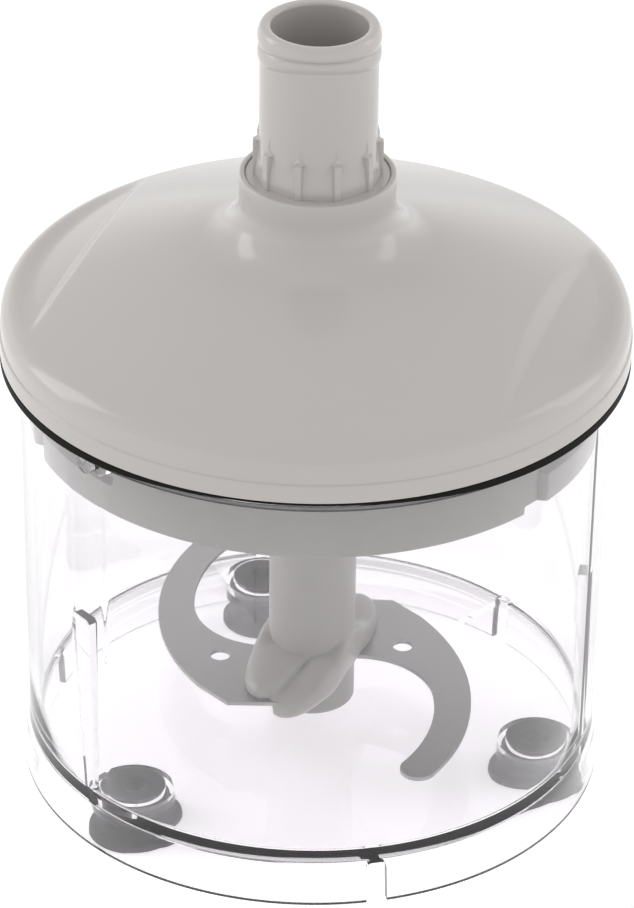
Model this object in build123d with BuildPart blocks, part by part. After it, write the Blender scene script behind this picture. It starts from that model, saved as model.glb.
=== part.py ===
"""Gear-lid chopper bowl: clear bowl, light grey lid with a planetary gearbox, and blade unit.

Frame: millimetres, +Z up, origin on the ground under the bowl's axis, front is -Y.
The coupling tube on the lid takes the shaft of a hand blender, which drives the blade
through the gearbox at a reduced speed.
"""

import os
from math import atan, cos, degrees, pi, radians, sin, sqrt

from build123d import *

os.makedirs("parts", exist_ok=True)

# ---------------------------------------------------------------- driving dimensions
# Clearances
running = 0.06  # radial gap of a shaft in its bush
seat = 0.05  # gap between two fixed pieces that locate each other
free = 0.4  # gap between pieces that turn or slide past each other
bite = 1.0  # how far a feature reaches into the wall it grows from, and a cut reaches past it

# Bowl
bowl_height = 99.7  # ground to the top of the rim
bowl_top_radius = 62.0  # outside of the wall under the rim
bowl_floor_radius = 61.3  # outside of the wall at the floor
bowl_wall = 2.2
floor_height = 12.0  # ground to the inside floor
floor_thickness = 2.5
rim_radius = 65.8
rim_thickness = 1.3
base_radius = 62.6  # outside of the base ring at its lower edge
base_lift = 0.15  # the base ring stays clear of the ground, the feet carry the bowl
base_wall = 1.9
base_draft = 1.0  # the inside of the ring narrows by this up to the floor
front_angle = 283.2  # direction of the front slot, about which the feet and ribs are placed
base_slot_width = 4.4
base_slot_count = 3
base_slot_corner = 1.4
rib_spread = 63.5  # from the front slot to the upright edge of the rib on either side
rib_height = 43.0  # of the ribs inside the bowl wall, above the floor
rib_top_width = 6.3
rib_foot_width = 2.0
rib_depth = 1.6
rib_corner = 1.0
pad_width = 8.0  # thicker strip of wall beside each rib, on either side of its upright edge
pad_depth = 0.25

# Feet
foot_count = 3
foot_circle = 50.6
foot_base_radius = 9.4
foot_waist_radius = 7.5
foot_flange = 2.4
foot_plug_radius = 6.6
foot_plug_recess = 1.7  # how far the plug stands up into the bowl's floor
foot_dimple_radius = 2.9
foot_dimple_depth = 2.6
foot_contact_width = 3.0  # flat ring that stands on the worktop
foot_hollow = 0.8  # depth of the hollow inside that ring
socket_wall = 1.8
socket_height = 3.4

# Spindle and blade unit
spindle_radius = 3.0
spindle_top = 46.0
spindle_seat = 1.5  # how far the pin goes into the floor
spindle_boss_radius = 5.6
spindle_boss_height = 8.0
spindle_chamfer = 0.6
hub_radius = 9.3
hub_wall = 2.0
hub_bottom = 13.0
hub_top = 92.0
hub_bush_wall = 1.2
hub_bush_length = 10.0
hub_rounding = 0.8  # of the lower end
hub_web = 1.6  # between the spindle's end and the open upper tube
blade_height = 22.4  # ground to the underside of the blade
blade_thickness = 1.4
blade_hole_radius = 2.15
blade_hole_reach = 19.9
blade_hole_angle = 6.5
blade_key_radius = 1.4  # holes through which the hub's plastic grips the blade
blade_key_circle = 6.8
blade_key_count = 4
collar_length = 20.0  # half length of the collar moulded round the blade
collar_width = 10.4  # half width
collar_angle = 60.0
collar_thickness = 9.6
collar_rounding = 4.0
# Outline of one half of the blade, seen from above; the other half is the same, turned round
blade_root = (4.0, 20.6)
blade_corner = (17.8, 20.6)
blade_heel = (23.9, 14.0)
blade_back = (34.0, -16.3)  # furthest point of the outer curve
blade_tip_outer = (25.4, -46.3)
blade_tip_end = (20.4, -47.6)
blade_tip_inner = (19.0, -42.6)
blade_edge = (25.0, -29.5)  # on the inner cutting curve
blade_waist = (26.0, -17.0)
blade_hollow = (20.2, -5.6)
blade_throat = (9.8, -1.7)

# Seal ring in the bowl rim
seal_radius = 61.0
seal_width = 1.1
seal_depth = 1.4
seal_stand = 0.9  # height above the rim
seal_lip_radius = 65.2  # flat lip that fills the gap between rim and lid
seal_lip = 0.5
seal_rounding = 0.3

# Lid
lid_gap = 0.6  # between the bowl rim and the lid edge
lid_radius = 66.0
lid_wall = 2.2
lid_step_height = 4.0  # low step round the lid edge
lid_step = 0.3
lid_edge_height = 7.6  # straight side of the lid
shoulder_reach = 3.7
shoulder_height = 11.5  # top of the rounded shoulder, above the lid's lower edge
crown_reach = 43.5  # where the dome's two slopes would meet
crown_height = 18.9
flare_reach = 8.0  # foot of the neck flare, beyond the neck
flare_foot_height = 24.6
flare_top_height = 33.4
neck_radius = 16.2
neck_bore = 15.0
neck_height = 39.8  # above the lid's lower edge
neck_sleeve = 1.8  # wall of the neck's lower end inside the lid
neck_rounding = 0.45
scoop_angle = 163.0
scoop_count = 2
scoop_reach = 47.5  # from the axis to the inner crease of a grip scoop
scoop_curve = 240.0  # radius of that crease, seen from above
scoop_depth = 1.3
scoop_margin = 1.0  # the scoops end this far above the low step

# Inner plate of the lid
plate_thickness = 2.0
skirt_length = 17.2  # hangs this far below the plate's underside
skirt_wall = 2.6
skirt_notch = 0.6
skirt_notch_angle = 31.0
sleeve_length = 8.2
sleeve_wall = 2.0
sleeve_lip = 1.0  # ledge under the shaft seal

# Bayonet
lug_count = 3
lug_angle = 224.0
lug_radius = 2.4
lug_reach = 2.0
lug_drop = 5.2  # rim top to the middle of the lug
lid_turn = 25.0  # unlocking turn of the lid
track_play = 0.5  # extra angle at each end of a track

# Coupling tube
tube_radius = 12.2
socket_radius = 9.9  # takes the end of the hand blender's shaft
socket_length = 20.8
socket_lead = 0.8  # rounding of the tube's mouth
mouth_fall = 0.6  # the same rounding on the outside
well_radius = 9.0  # room round the drive coupling, below the socket
tube_height = 34.7  # above the groove floor round its foot
tube_bead = 0.45
bead_height = 3.6
groove_depth = 1.2
foot_rib_count = 10
foot_rib_radius = 13.45
foot_rib_height = 9.4
foot_rib_width = 1.5
foot_rib_root = 0.6  # how far a rib reaches into the tube
facet_radius = 13.3  # corners of the ten-sided foot
facet_fade = 0.05  # corners of the foot's upper end, beyond the tube
tube_floor = 2.5
flange_radius = 24.4
flange_thickness = 2.4
column_wall = 2.2

# Gears
gear_module = 0.8
sun_teeth = 12
planet_teeth = 15
pressure_angle = 25.0
addendum = 0.8
dedendum = 1.1
backlash = 0.1  # taken off each flank at the pitch circle
gear_width = 7.0
gear_gap = 0.3
planet_count = 3
ring_wall = 3.0

# Shafts, bushes, claws and fasteners in the lid
input_radius = 2.5
bush_wall = 1.3
input_bush_length = 7.0
clip_thickness = 0.7
clip_radius = 4.6
clip_groove = 0.5
clip_grip = 0.6  # the clip's mouth is narrower than the groove by this
coupling_radius = 6.2
coupling_length = 10.0
coupling_roof = 2.0
coupling_rounding = 0.8
coupling_splines = 6
spline_radius = 1.1
pin_radius = 1.25
shaft_seat_depth = 3.0  # how far the shaft goes into the carrier's neck
shaft_end_room = 0.5
shaft_chamfer = 0.4
carrier_thickness = 2.2
carrier_margin = 2.2
carrier_neck_radius = 7.6
carrier_bush_wall = 1.4
shaft_seal_height = 2.0
claw_count = 3
claw_angle = 22.0  # angle that one claw covers
claw_height = 5.2
claw_inner = 4.2
claw_inset = 0.5  # of the driven claws, below the tube's end
screw_count = 4
screw_radius = 1.5
screw_circle = 21.4
screw_boss = 3.0
screw_head_radius = 2.7
screw_head_height = 1.6
screw_length = 8.0
hex_socket_radius = 1.3
hex_socket_depth = 1.0
screw_play = 0.2  # in the flange
screw_fit = 0.02  # in the housing
screw_end_room = 0.5
screw_head_rounding = 0.5

# ---------------------------------------------------------------- derived places
lid_bottom = bowl_height + lid_gap
lid_edge_top = lid_bottom + lid_edge_height
neck_top = lid_bottom + neck_height
groove_floor = neck_top - groove_depth
tube_top = groove_floor + tube_height
plate_bottom = bowl_height + seal_stand + lid_gap
plate_top = plate_bottom + plate_thickness
skirt_bottom = plate_bottom - skirt_length
lug_height = bowl_height - lug_drop
boss_top = floor_height + spindle_boss_height
floor_bottom = floor_height - floor_thickness
spindle_bottom = floor_height - spindle_seat
carrier_bottom = plate_top + free
carrier_top = carrier_bottom + carrier_thickness
gear_bottom = carrier_top + gear_gap
gear_top = gear_bottom + gear_width
flange_bottom = gear_top + 2 * gear_gap
flange_top = flange_bottom + flange_thickness
ring_teeth = sun_teeth + 2 * planet_teeth
planet_circle = gear_module * (sun_teeth + planet_teeth) / 2
bush_radius = input_radius + running + bush_wall
column_radius = bush_radius + seat + column_wall
coupling_bottom = groove_floor + seat + clip_thickness + free
neck_bottom = hub_top + free  # lower end of the carrier's neck
claw_outer = hub_radius - hub_wall - free


def wall_radius(height):
    """Outer radius of the slightly tapered bowl wall at a height."""
    taper = (bowl_top_radius - bowl_floor_radius) / (bowl_height - floor_height)
    return bowl_floor_radius + taper * (height - floor_height)


skirt_radius = wall_radius(skirt_bottom) - bowl_wall - pad_depth - free
track_radius = wall_radius(skirt_bottom) - bowl_wall - lug_reach - free
sleeve_radius = carrier_neck_radius + running + carrier_bush_wall + seat


def lid_line(inset):
    """Closed half profile of the lid's dome, moved inward by inset, in the XZ plane."""
    side = lid_radius - inset
    shoulder = (lid_radius - shoulder_reach - inset / 2, lid_bottom + shoulder_height - inset)
    crown = (crown_reach, lid_bottom + crown_height - inset)
    flare = (neck_radius + flare_reach, lid_bottom + flare_foot_height - inset)
    neck = neck_radius if inset == 0 else neck_bore
    neck_start = lid_bottom + flare_top_height - 2 * inset
    step = lid_step if inset == 0 else 0.0
    step_top = lid_bottom + lid_step_height
    shoulder_slope = (crown[1] - shoulder[1]) / (shoulder[0] - crown[0])
    flare_slope = (flare[1] - crown[1]) / (crown[0] - flare[0])
    shoulder_corner = (side - step, shoulder[1] - shoulder_slope * (side - step - shoulder[0]))
    flare_corner = (neck, flare[1] + flare_slope * (flare[0] - neck))
    edge_top = lid_edge_top - inset
    Polyline((0, neck_top), (0, lid_bottom), (side, lid_bottom), (side, step_top))
    if step:
        Line((side, step_top), (side - step, step_top + step))
    Line((side - step, step_top + step), (side - step, edge_top))
    Bezier((side - step, edge_top), shoulder_corner, shoulder)
    Bezier(shoulder, crown, flare)
    Bezier(flare, flare_corner, (neck, neck_start))
    Polyline((neck, neck_start), (neck, neck_top), (0, neck_top))


def gear_outline(teeth, tip, root, thinning):
    """Closed line of an involute gear with a tooth centred on +X."""
    pitch = gear_module * teeth / 2
    base = pitch * cos(radians(pressure_angle))
    tip_radius = pitch + tip * gear_module
    root_radius = pitch - root * gear_module

    def involute_angle(radius):
        roll = sqrt(max((radius / base) ** 2 - 1, 0.0))
        return roll - atan(roll)

    half = pi / (2 * teeth) - thinning / pitch
    start = max(base, root_radius)
    flank = [start + (tip_radius - start) * step / 4 for step in range(5)]

    def point(radius, angle):
        return (radius * cos(angle), radius * sin(angle))

    for tooth in range(teeth):
        centre = 2 * pi * tooth / teeth
        spread = [half + involute_angle(pitch) - involute_angle(radius) for radius in flank]
        low = [point(r, centre - a) for r, a in zip(flank, spread)]
        high = [point(r, centre + a) for r, a in zip(flank, spread)]
        foot_low = point(root_radius, centre - spread[0])
        foot_high = point(root_radius, centre + spread[0])
        if root_radius < base:
            Line(foot_low, low[0])
            Line(high[0], foot_high)
        Spline(*low)
        ThreePointArc(low[-1], point(tip_radius, centre), high[-1])
        Spline(*reversed(high))
        gap_centre = centre + pi / teeth
        next_foot = point(root_radius, centre + 2 * pi / teeth - spread[0])
        ThreePointArc(foot_high, point(root_radius, gap_centre), next_foot)


def on_circle(radius, angle):
    """Point on a circle round the axis, at an angle in degrees."""
    return (radius * cos(radians(angle)), radius * sin(radians(angle)))


def ring_sector(inner, outer, start, width):
    """Sketch face between two radii over an angle, in degrees, centred on the axis."""
    middle = start + width / 2
    end = start + width
    with BuildLine() as sector:
        Line(on_circle(inner, start), on_circle(outer, start))
        ThreePointArc(on_circle(outer, start), on_circle(outer, middle), on_circle(outer, end))
        Line(on_circle(outer, end), on_circle(inner, end))
        ThreePointArc(on_circle(inner, end), on_circle(inner, middle), on_circle(inner, start))
    make_face(sector.edges())


# ---------------------------------------------------------------- bowl
with BuildPart() as bowl:
    base_top_inner = wall_radius(floor_height) - bowl_wall
    rim_inner = wall_radius(bowl_height) - bowl_wall
    # Wall, floor and base ring in one revolved section
    with BuildSketch(Plane.XZ):
        with BuildLine():
            Polyline(
                (0, floor_bottom),
                (base_radius - base_wall - base_draft, floor_bottom),
                (base_radius - base_wall, base_lift),
                (base_radius, base_lift),
                (wall_radius(floor_height), floor_height),
                (wall_radius(bowl_height - rim_thickness), bowl_height - rim_thickness),
                (rim_radius, bowl_height - rim_thickness),
                (rim_radius, bowl_height),
                (rim_inner, bowl_height),
                (base_top_inner, floor_height),
                (0, floor_height),
                (0, floor_bottom),
            )
        make_face()
    revolve(axis=Axis.Z)
    # Boss for the spindle
    with BuildSketch(Plane.XY.offset(floor_height)):
        Circle(spindle_boss_radius)
    extrude(amount=spindle_boss_height)
    # Strips of thicker wall, each with a rib that starts at the floor and widens upwards
    half_pad = degrees(pad_width / 2 / base_top_inner)
    pad_top = bowl_height - rim_thickness
    rib_face = base_top_inner - rib_depth
    for turn in (front_angle - rib_spread, front_angle + rib_spread, front_angle + 180):
        pad_plane = Plane(
            origin=(0, 0, 0),
            x_dir=on_circle(1, turn - half_pad) + (0,),
            z_dir=on_circle(1, turn - half_pad - 90) + (0,),
        )
        with BuildSketch(pad_plane):
            with BuildLine():
                Polyline(
                    (base_top_inner - pad_depth, floor_height),
                    (base_top_inner + bite, floor_height),
                    (rim_inner + bite, pad_top),
                    (rim_inner - pad_depth, pad_top),
                    (base_top_inner - pad_depth, floor_height),
                )
            make_face()
        revolve(axis=Axis.Z, revolution_arc=2 * half_pad)
        rib_plane = Plane(
            origin=on_circle(rib_face, turn) + (floor_height,),
            x_dir=on_circle(1, turn + 90) + (0,),
            z_dir=on_circle(1, turn) + (0,),
        )
        with BuildSketch(rib_plane) as rib_shape:
            with BuildLine():
                Polyline(
                    (0, 0),
                    (0, rib_height),
                    (-rib_top_width, rib_height),
                    (-rib_foot_width, 0),
                    (0, 0),
                )
            make_face()
            fillet(rib_shape.vertices().group_by(Axis.Z)[-1], rib_corner)
        extrude(amount=rib_depth + bite)
    # Round bayonet lugs under the rim
    for index in range(lug_count):
        turn = lug_angle + index * 360 / lug_count
        lug_face = wall_radius(lug_height) - bowl_wall - lug_reach
        lug_plane = Plane(
            origin=on_circle(lug_face, turn) + (lug_height,),
            x_dir=on_circle(1, turn + 90) + (0,),
            z_dir=on_circle(1, turn) + (0,),
        )
        with BuildSketch(lug_plane):
            Circle(lug_radius)
        extrude(amount=lug_reach + bite)
    # Sockets under the floor for the feet, and the recesses for their plugs
    foot_places = PolarLocations(foot_circle, foot_count, start_angle=front_angle + 180)
    with BuildSketch(Plane.XY.offset(floor_bottom)):
        with foot_places:
            Circle(foot_plug_radius + seat + socket_wall)
    extrude(amount=-socket_height)
    with BuildSketch(Plane.XY.offset(floor_bottom - socket_height)):
        with foot_places:
            Circle(foot_plug_radius + seat)
    extrude(amount=socket_height + foot_plug_recess + seat, mode=Mode.SUBTRACT)
    # Groove for the seal ring
    with BuildSketch(Plane.XY.offset(bowl_height)):
        Circle(seal_radius + seal_width / 2 + running)
        Circle(seal_radius - seal_width / 2 - running, mode=Mode.SUBTRACT)
    extrude(amount=-seal_depth, mode=Mode.SUBTRACT)
    # Hole for the spindle
    with BuildSketch(Plane.XY.offset(spindle_bottom)):
        Circle(spindle_radius)
    extrude(amount=boss_top - spindle_bottom, mode=Mode.SUBTRACT)
    # Slots through the base ring, round at the top
    slot_start = base_radius - base_wall - base_draft - bite
    for index in range(base_slot_count):
        turn = front_angle + index * 360 / base_slot_count
        slot_plane = Plane(
            origin=on_circle(slot_start, turn) + (0,),
            x_dir=on_circle(1, turn + 90) + (0,),
            z_dir=on_circle(1, turn) + (0,),
        )
        with BuildSketch(slot_plane) as slot_shape:
            Rectangle(base_slot_width, 2 * floor_bottom)
            fillet(slot_shape.vertices(), base_slot_corner)
        extrude(amount=base_radius + bite - slot_start, mode=Mode.SUBTRACT)
bowl.part.label = "bowl"
export_step(bowl.part, "parts/bowl.step")

with BuildPart() as spindle_pin:
    with BuildSketch(Plane.XY.offset(spindle_bottom)):
        Circle(spindle_radius)
    extrude(amount=spindle_top - spindle_bottom)
    chamfer(spindle_pin.edges().group_by(Axis.Z)[-1], spindle_chamfer)
spindle_pin.part.label = "spindle_pin"
export_step(spindle_pin.part, "parts/spindle_pin.step")

foot_names = ("rubber_foot_rear", "rubber_foot_left", "rubber_foot_right")
plug_top = floor_bottom + foot_plug_recess
plug_bottom = floor_bottom - socket_height - seat
contact_inner = foot_base_radius - foot_contact_width
for index, foot_name in enumerate(foot_names):
    centre = on_circle(foot_circle, front_angle + 180 + index * 360 / foot_count) + (0,)
    with BuildPart() as foot:
        with BuildSketch(Plane(origin=centre, x_dir=(1, 0, 0), z_dir=(0, -1, 0))):
            with BuildLine():
                Polyline(
                    (0, foot_hollow),
                    (contact_inner - foot_hollow, foot_hollow),
                    (contact_inner, 0),
                    (foot_base_radius, 0),
                    (foot_base_radius, foot_flange / 2),
                    (foot_waist_radius, foot_flange),
                    (foot_waist_radius, plug_bottom),
                    (foot_plug_radius, plug_bottom),
                    (foot_plug_radius, plug_top),
                    (foot_dimple_radius, plug_top),
                    (foot_dimple_radius / 2, plug_top - foot_dimple_depth),
                    (0, plug_top - foot_dimple_depth),
                    (0, foot_hollow),
                )
            make_face()
        revolve(axis=Axis(centre, (0, 0, 1)))
    foot.part.label = foot_name
    export_step(foot.part, f"parts/{foot_name}.step")

# ---------------------------------------------------------------- seal ring
with BuildPart() as lid_seal:
    with BuildSketch(Plane.XY.offset(bowl_height - seal_depth + running)):
        Circle(seal_radius + seal_width / 2)
        Circle(seal_radius - seal_width / 2, mode=Mode.SUBTRACT)
    extrude(amount=seal_depth - running + seal_stand)
    fillet(lid_seal.edges().group_by(Axis.Z)[-1], seal_rounding)
    # Flat lip on the rim
    with BuildSketch(Plane.XY.offset(bowl_height + seat / 2)):
        Circle(seal_lip_radius)
        Circle(seal_radius, mode=Mode.SUBTRACT)
    extrude(amount=seal_lip)
lid_seal.part.label = "lid_seal"
export_step(lid_seal.part, "parts/lid_seal.step")

# ---------------------------------------------------------------- blade unit
def turned(point, half_turn):
    """A point, or the same point half a turn round the axis."""
    return (-point[0], -point[1]) if half_turn else point


with BuildPart() as s_blade:
    with BuildSketch(Plane.XY.offset(blade_height)):
        with BuildLine():
            for half in (False, True):
                root = turned(blade_root, half)
                corner = turned(blade_corner, half)
                heel = turned(blade_heel, half)
                tip_outer = turned(blade_tip_outer, half)
                tip_inner = turned(blade_tip_inner, half)
                waist = turned(blade_waist, half)
                throat = turned(blade_throat, half)
                Line(root, corner)
                Line(corner, heel)
                ThreePointArc(heel, turned(blade_back, half), tip_outer)
                ThreePointArc(tip_outer, turned(blade_tip_end, half), tip_inner)
                ThreePointArc(tip_inner, turned(blade_edge, half), waist)
                ThreePointArc(waist, turned(blade_hollow, half), throat)
                Line(throat, turned(blade_root, not half))
        make_face()
        with PolarLocations(blade_hole_reach, 2, start_angle=blade_hole_angle):
            Circle(blade_hole_radius, mode=Mode.SUBTRACT)
        with PolarLocations(blade_key_circle, blade_key_count, start_angle=collar_angle):
            Circle(blade_key_radius, mode=Mode.SUBTRACT)
        Circle(spindle_radius + running + hub_bush_wall + seat, mode=Mode.SUBTRACT)
    extrude(amount=blade_thickness)
s_blade.part.label = "s_blade"
export_step(s_blade.part, "parts/s_blade.step")

hub_bush_radius = spindle_radius + running + hub_bush_wall
with BuildPart() as blade_hub:
    # Hub tube
    with BuildSketch(Plane.XY.offset(hub_bottom)):
        Circle(hub_radius)
    extrude(amount=hub_top - hub_bottom)
    fillet(blade_hub.edges().group_by(Axis.Z)[0], hub_rounding)
    # Collar moulded round the middle of the blade
    collar_middle = blade_height + blade_thickness / 2
    with BuildSketch(Plane.XY.offset(collar_middle - collar_thickness / 2)):
        Ellipse(collar_length, collar_width, rotation=collar_angle)
    extrude(amount=collar_thickness)
    widest_on_hub = 2 * hub_radius + bite
    collar_edges = blade_hub.edges().filter_by(lambda e: e.bounding_box().size.X > widest_on_hub)
    fillet(collar_edges, collar_rounding)
    # Recess round the spindle boss, bush seat, spindle clearance and open upper tube
    for low, high, radius in (
        (hub_bottom, boss_top + free, hub_radius - hub_wall),
        (boss_top, boss_top + seat + hub_bush_length, hub_bush_radius),
        (boss_top, spindle_top + free, spindle_radius + free),
        (spindle_top + free + hub_web, hub_top, hub_radius - hub_wall),
    ):
        with BuildSketch(Plane.XY.offset(low)):
            Circle(radius)
        extrude(amount=high - low, mode=Mode.SUBTRACT)
    # Driven claws inside the top of the tube
    for index in range(claw_count):
        with BuildSketch(Plane.XY.offset(hub_top - claw_inset - claw_height)):
            start = index * 360 / claw_count - claw_angle / 2 + 180 / claw_count
            ring_sector(claw_inner, hub_radius - hub_wall / 2, start, claw_angle)
        extrude(amount=claw_height)
    add(s_blade.part, mode=Mode.SUBTRACT)
blade_hub.part.label = "blade_hub"
export_step(blade_hub.part, "parts/blade_hub.step")

with BuildPart() as hub_bush:
    with BuildSketch(Plane.XY.offset(boss_top + seat)):
        Circle(hub_bush_radius)
        Circle(spindle_radius + running, mode=Mode.SUBTRACT)
    extrude(amount=hub_bush_length)
hub_bush.part.label = "hub_bush"
export_step(hub_bush.part, "parts/hub_bush.step")

# ---------------------------------------------------------------- lid

def cut_scoops(lower, sink):
    """Cut the two crescent grip scoops into the current part, sink below the lid's surface."""
    with BuildPart(mode=Mode.PRIVATE) as scoops:
        for index in range(scoop_count):
            turn = scoop_angle + index * 360 / scoop_count
            with BuildSketch(Plane.XY.offset(lid_bottom + lid_step_height + scoop_margin)):
                with Locations(Location(on_circle(scoop_reach + scoop_curve, turn) + (0,))):
                    Circle(scoop_curve)
                with Locations(Location(on_circle(scoop_reach + lid_radius, turn) + (0,))):
                    Rectangle(2 * lid_radius, 2 * lid_radius, rotation=turn, mode=Mode.INTERSECT)
            extrude(amount=crown_height)
        add(lower, mode=Mode.SUBTRACT)
    add(scoops.part.moved(Location((0, 0, -sink))), mode=Mode.SUBTRACT)


with BuildPart() as lowered_dome:
    with BuildSketch(Plane.XZ):
        with BuildLine():
            lid_line(0)
        make_face()
    revolve(axis=Axis.Z)
lower_surface = lowered_dome.part.moved(Location((0, 0, -scoop_depth)))

with BuildPart() as lid_hollow:
    with BuildSketch(Plane.XZ):
        with BuildLine():
            lid_line(lid_wall)
        make_face()
    revolve(axis=Axis.Z)
    cut_scoops(lower_surface, lid_wall)

with BuildPart() as lid_cover:
    with BuildSketch(Plane.XZ):
        with BuildLine():
            lid_line(0)
        make_face()
    revolve(axis=Axis.Z)
    cut_scoops(lower_surface, 0)
    add(lid_hollow.part, mode=Mode.SUBTRACT)
    # Sleeve that carries the neck down onto the coupling tube's flange
    with BuildSketch(Plane.XY.offset(flange_top + seat)):
        Circle(neck_bore + neck_sleeve)
        Circle(neck_bore, mode=Mode.SUBTRACT)
    extrude(amount=lid_bottom + flare_top_height - lid_wall - flange_top)
    # Rounded mouth of the neck
    mouth = lid_cover.edges().filter_by(GeomType.CIRCLE).group_by(Axis.Z)[-1]
    fillet(mouth, neck_rounding)
lid_cover.part.label = "lid_cover"
export_step(lid_cover.part, "parts/lid_cover.step")

with BuildPart() as lid_inner_plate:
    sleeve_outer = sleeve_radius + sleeve_wall
    with BuildSketch(Plane.XZ):
        with BuildLine():
            Polyline(
                (sleeve_radius, plate_top),
                (lid_radius - lid_wall - seat, plate_top),
                (lid_radius - lid_wall - seat, plate_bottom),
                (skirt_radius, plate_bottom),
                (skirt_radius, skirt_bottom),
                (skirt_radius - skirt_wall, skirt_bottom),
                (skirt_radius - skirt_wall, plate_bottom),
                (sleeve_outer, plate_bottom),
                (sleeve_outer, plate_top - plate_thickness - sleeve_length),
                (carrier_neck_radius + free, plate_top - plate_thickness - sleeve_length),
                (carrier_neck_radius + free, plate_bottom - sleeve_length + sleeve_lip),
                (sleeve_radius, plate_bottom - sleeve_length + sleeve_lip),
                (sleeve_radius, plate_top),
            )
        make_face()
    revolve(axis=Axis.Z)
    # Bayonet tracks: a level run, then an open way down to the skirt's lower edge
    lug_half = degrees(lug_radius / skirt_radius)
    track_margin = degrees(free / skirt_radius) + track_play
    way_width = 2 * (lug_half + track_margin)
    for index in range(lug_count):
        turn = lug_angle + index * 360 / lug_count
        run_start = turn - lid_turn - lug_half - track_margin
        with BuildSketch(Plane.XY.offset(lug_height - lug_radius - free)):
            ring_sector(track_radius, skirt_radius + bite, run_start, lid_turn + way_width)
        extrude(amount=2 * (lug_radius + free), mode=Mode.SUBTRACT)
        with BuildSketch(Plane.XY.offset(skirt_bottom)):
            ring_sector(track_radius, skirt_radius + bite, run_start, way_width)
        extrude(amount=lug_height - skirt_bottom, mode=Mode.SUBTRACT)
        # The skirt's lower edge is a little higher round each way in
        notch_start = turn - lid_turn - skirt_notch_angle / 2
        with BuildSketch(Plane.XY.offset(skirt_bottom)):
            ring_sector(
                skirt_radius - skirt_wall - bite,
                skirt_radius + bite,
                notch_start,
                skirt_notch_angle,
            )
        extrude(amount=skirt_notch, mode=Mode.SUBTRACT)
lid_inner_plate.part.label = "lid_inner_plate"
export_step(lid_inner_plate.part, "parts/lid_inner_plate.step")

with BuildPart() as coupling_tube:
    barrel_radius = neck_bore - seat
    socket_top = tube_top - socket_lead
    with BuildSketch(Plane.XZ):
        with BuildLine():
            # Bore, coupling pocket floor, hollow barrel, flange and ribbed foot
            Polyline(
                (bush_radius + seat, flange_bottom),
                (bush_radius + seat, groove_floor),
                (well_radius, groove_floor),
                (well_radius, socket_top - socket_length),
                (socket_radius, socket_top - socket_length),
                (socket_radius, socket_top),
            )
            upper = tube_top - mouth_fall
            ThreePointArc(
                (socket_radius, socket_top),
                ((socket_radius + tube_radius) / 2, tube_top),
                (tube_radius, upper),
            )
            middle = upper - bead_height
            lower = middle - bead_height
            for bead_top in (upper, middle):
                ThreePointArc(
                    (tube_radius, bead_top),
                    (tube_radius + tube_bead, bead_top - bead_height / 2),
                    (tube_radius, bead_top - bead_height),
                )
            Polyline(
                (tube_radius, lower),
                (tube_radius, groove_floor),
                (barrel_radius, groove_floor),
                (barrel_radius, flange_top),
                (flange_radius, flange_top),
                (flange_radius, flange_bottom),
                (barrel_radius - lid_wall, flange_bottom),
                (barrel_radius - lid_wall, groove_floor - tube_floor),
                (column_radius, groove_floor - tube_floor),
                (column_radius, flange_bottom),
                (bush_radius + seat, flange_bottom),
            )
        make_face()
    revolve(axis=Axis.Z)
    # Ten-sided foot that fades into the tube
    with BuildSketch(Plane.XY.offset(groove_floor)):
        RegularPolygon(facet_radius, foot_rib_count, rotation=180 / foot_rib_count + 90)
    with BuildSketch(Plane.XY.offset(groove_floor + foot_rib_height)):
        RegularPolygon(tube_radius + facet_fade, foot_rib_count, rotation=180 / foot_rib_count + 90)
    loft()
    with BuildSketch(Plane.XY.offset(groove_floor)):
        Circle(well_radius)
    extrude(amount=foot_rib_height, mode=Mode.SUBTRACT)
    # Ribs on the corners
    with BuildSketch(Plane.XY.offset(groove_floor)):
        with PolarLocations(0, foot_rib_count, start_angle=90 + 180 / foot_rib_count):
            with Locations(((tube_radius - foot_rib_root + foot_rib_radius) / 2, 0)):
                Rectangle(foot_rib_radius - tube_radius + foot_rib_root, foot_rib_width)
    extrude(amount=foot_rib_height)
    # Screw holes in the flange
    with BuildSketch(Plane.XY.offset(flange_bottom)):
        with PolarLocations(screw_circle, screw_count, start_angle=45):
            Circle(screw_radius + screw_play)
    extrude(amount=flange_thickness, mode=Mode.SUBTRACT)
coupling_tube.part.label = "coupling_tube"
export_step(coupling_tube.part, "parts/coupling_tube.step")

# ---------------------------------------------------------------- gearbox housing, bushes and seals
# The planets stand on the carrier, the first one straight behind the axis.
first_planet = 90.0


def planet_turn(place):
    """Angle that puts a planet, standing at an angle round the sun, in mesh with the sun."""
    sun_phase = place * sun_teeth / 360 % 1
    return place + 180 - (0.5 - sun_phase) * 360 / planet_teeth


planet_phase = (first_planet - planet_turn(first_planet)) * planet_teeth / 360
ring_turn = first_planet - planet_phase * 360 / ring_teeth

ring_root = gear_module * (ring_teeth / 2 + dedendum)
with BuildPart() as gear_housing:
    with BuildSketch(Plane.XY.offset(plate_top)):
        Circle(ring_root + ring_wall)
        with PolarLocations(screw_circle, screw_count, start_angle=45):
            Circle(screw_boss)
    extrude(amount=flange_bottom - plate_top)
    with BuildSketch(Plane.XY.rotated((0, 0, ring_turn)).offset(plate_top)):
        with BuildLine():
            gear_outline(ring_teeth, dedendum, addendum, -backlash)
        make_face()
    extrude(amount=flange_bottom - plate_top, mode=Mode.SUBTRACT)
    with BuildSketch(Plane.XY.offset(flange_bottom)):
        with PolarLocations(screw_circle, screw_count, start_angle=45):
            Circle(screw_radius)
    extrude(amount=-(screw_length - flange_thickness + screw_end_room), mode=Mode.SUBTRACT)
gear_housing.part.label = "gear_housing"
export_step(gear_housing.part, "parts/gear_housing.step")

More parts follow.
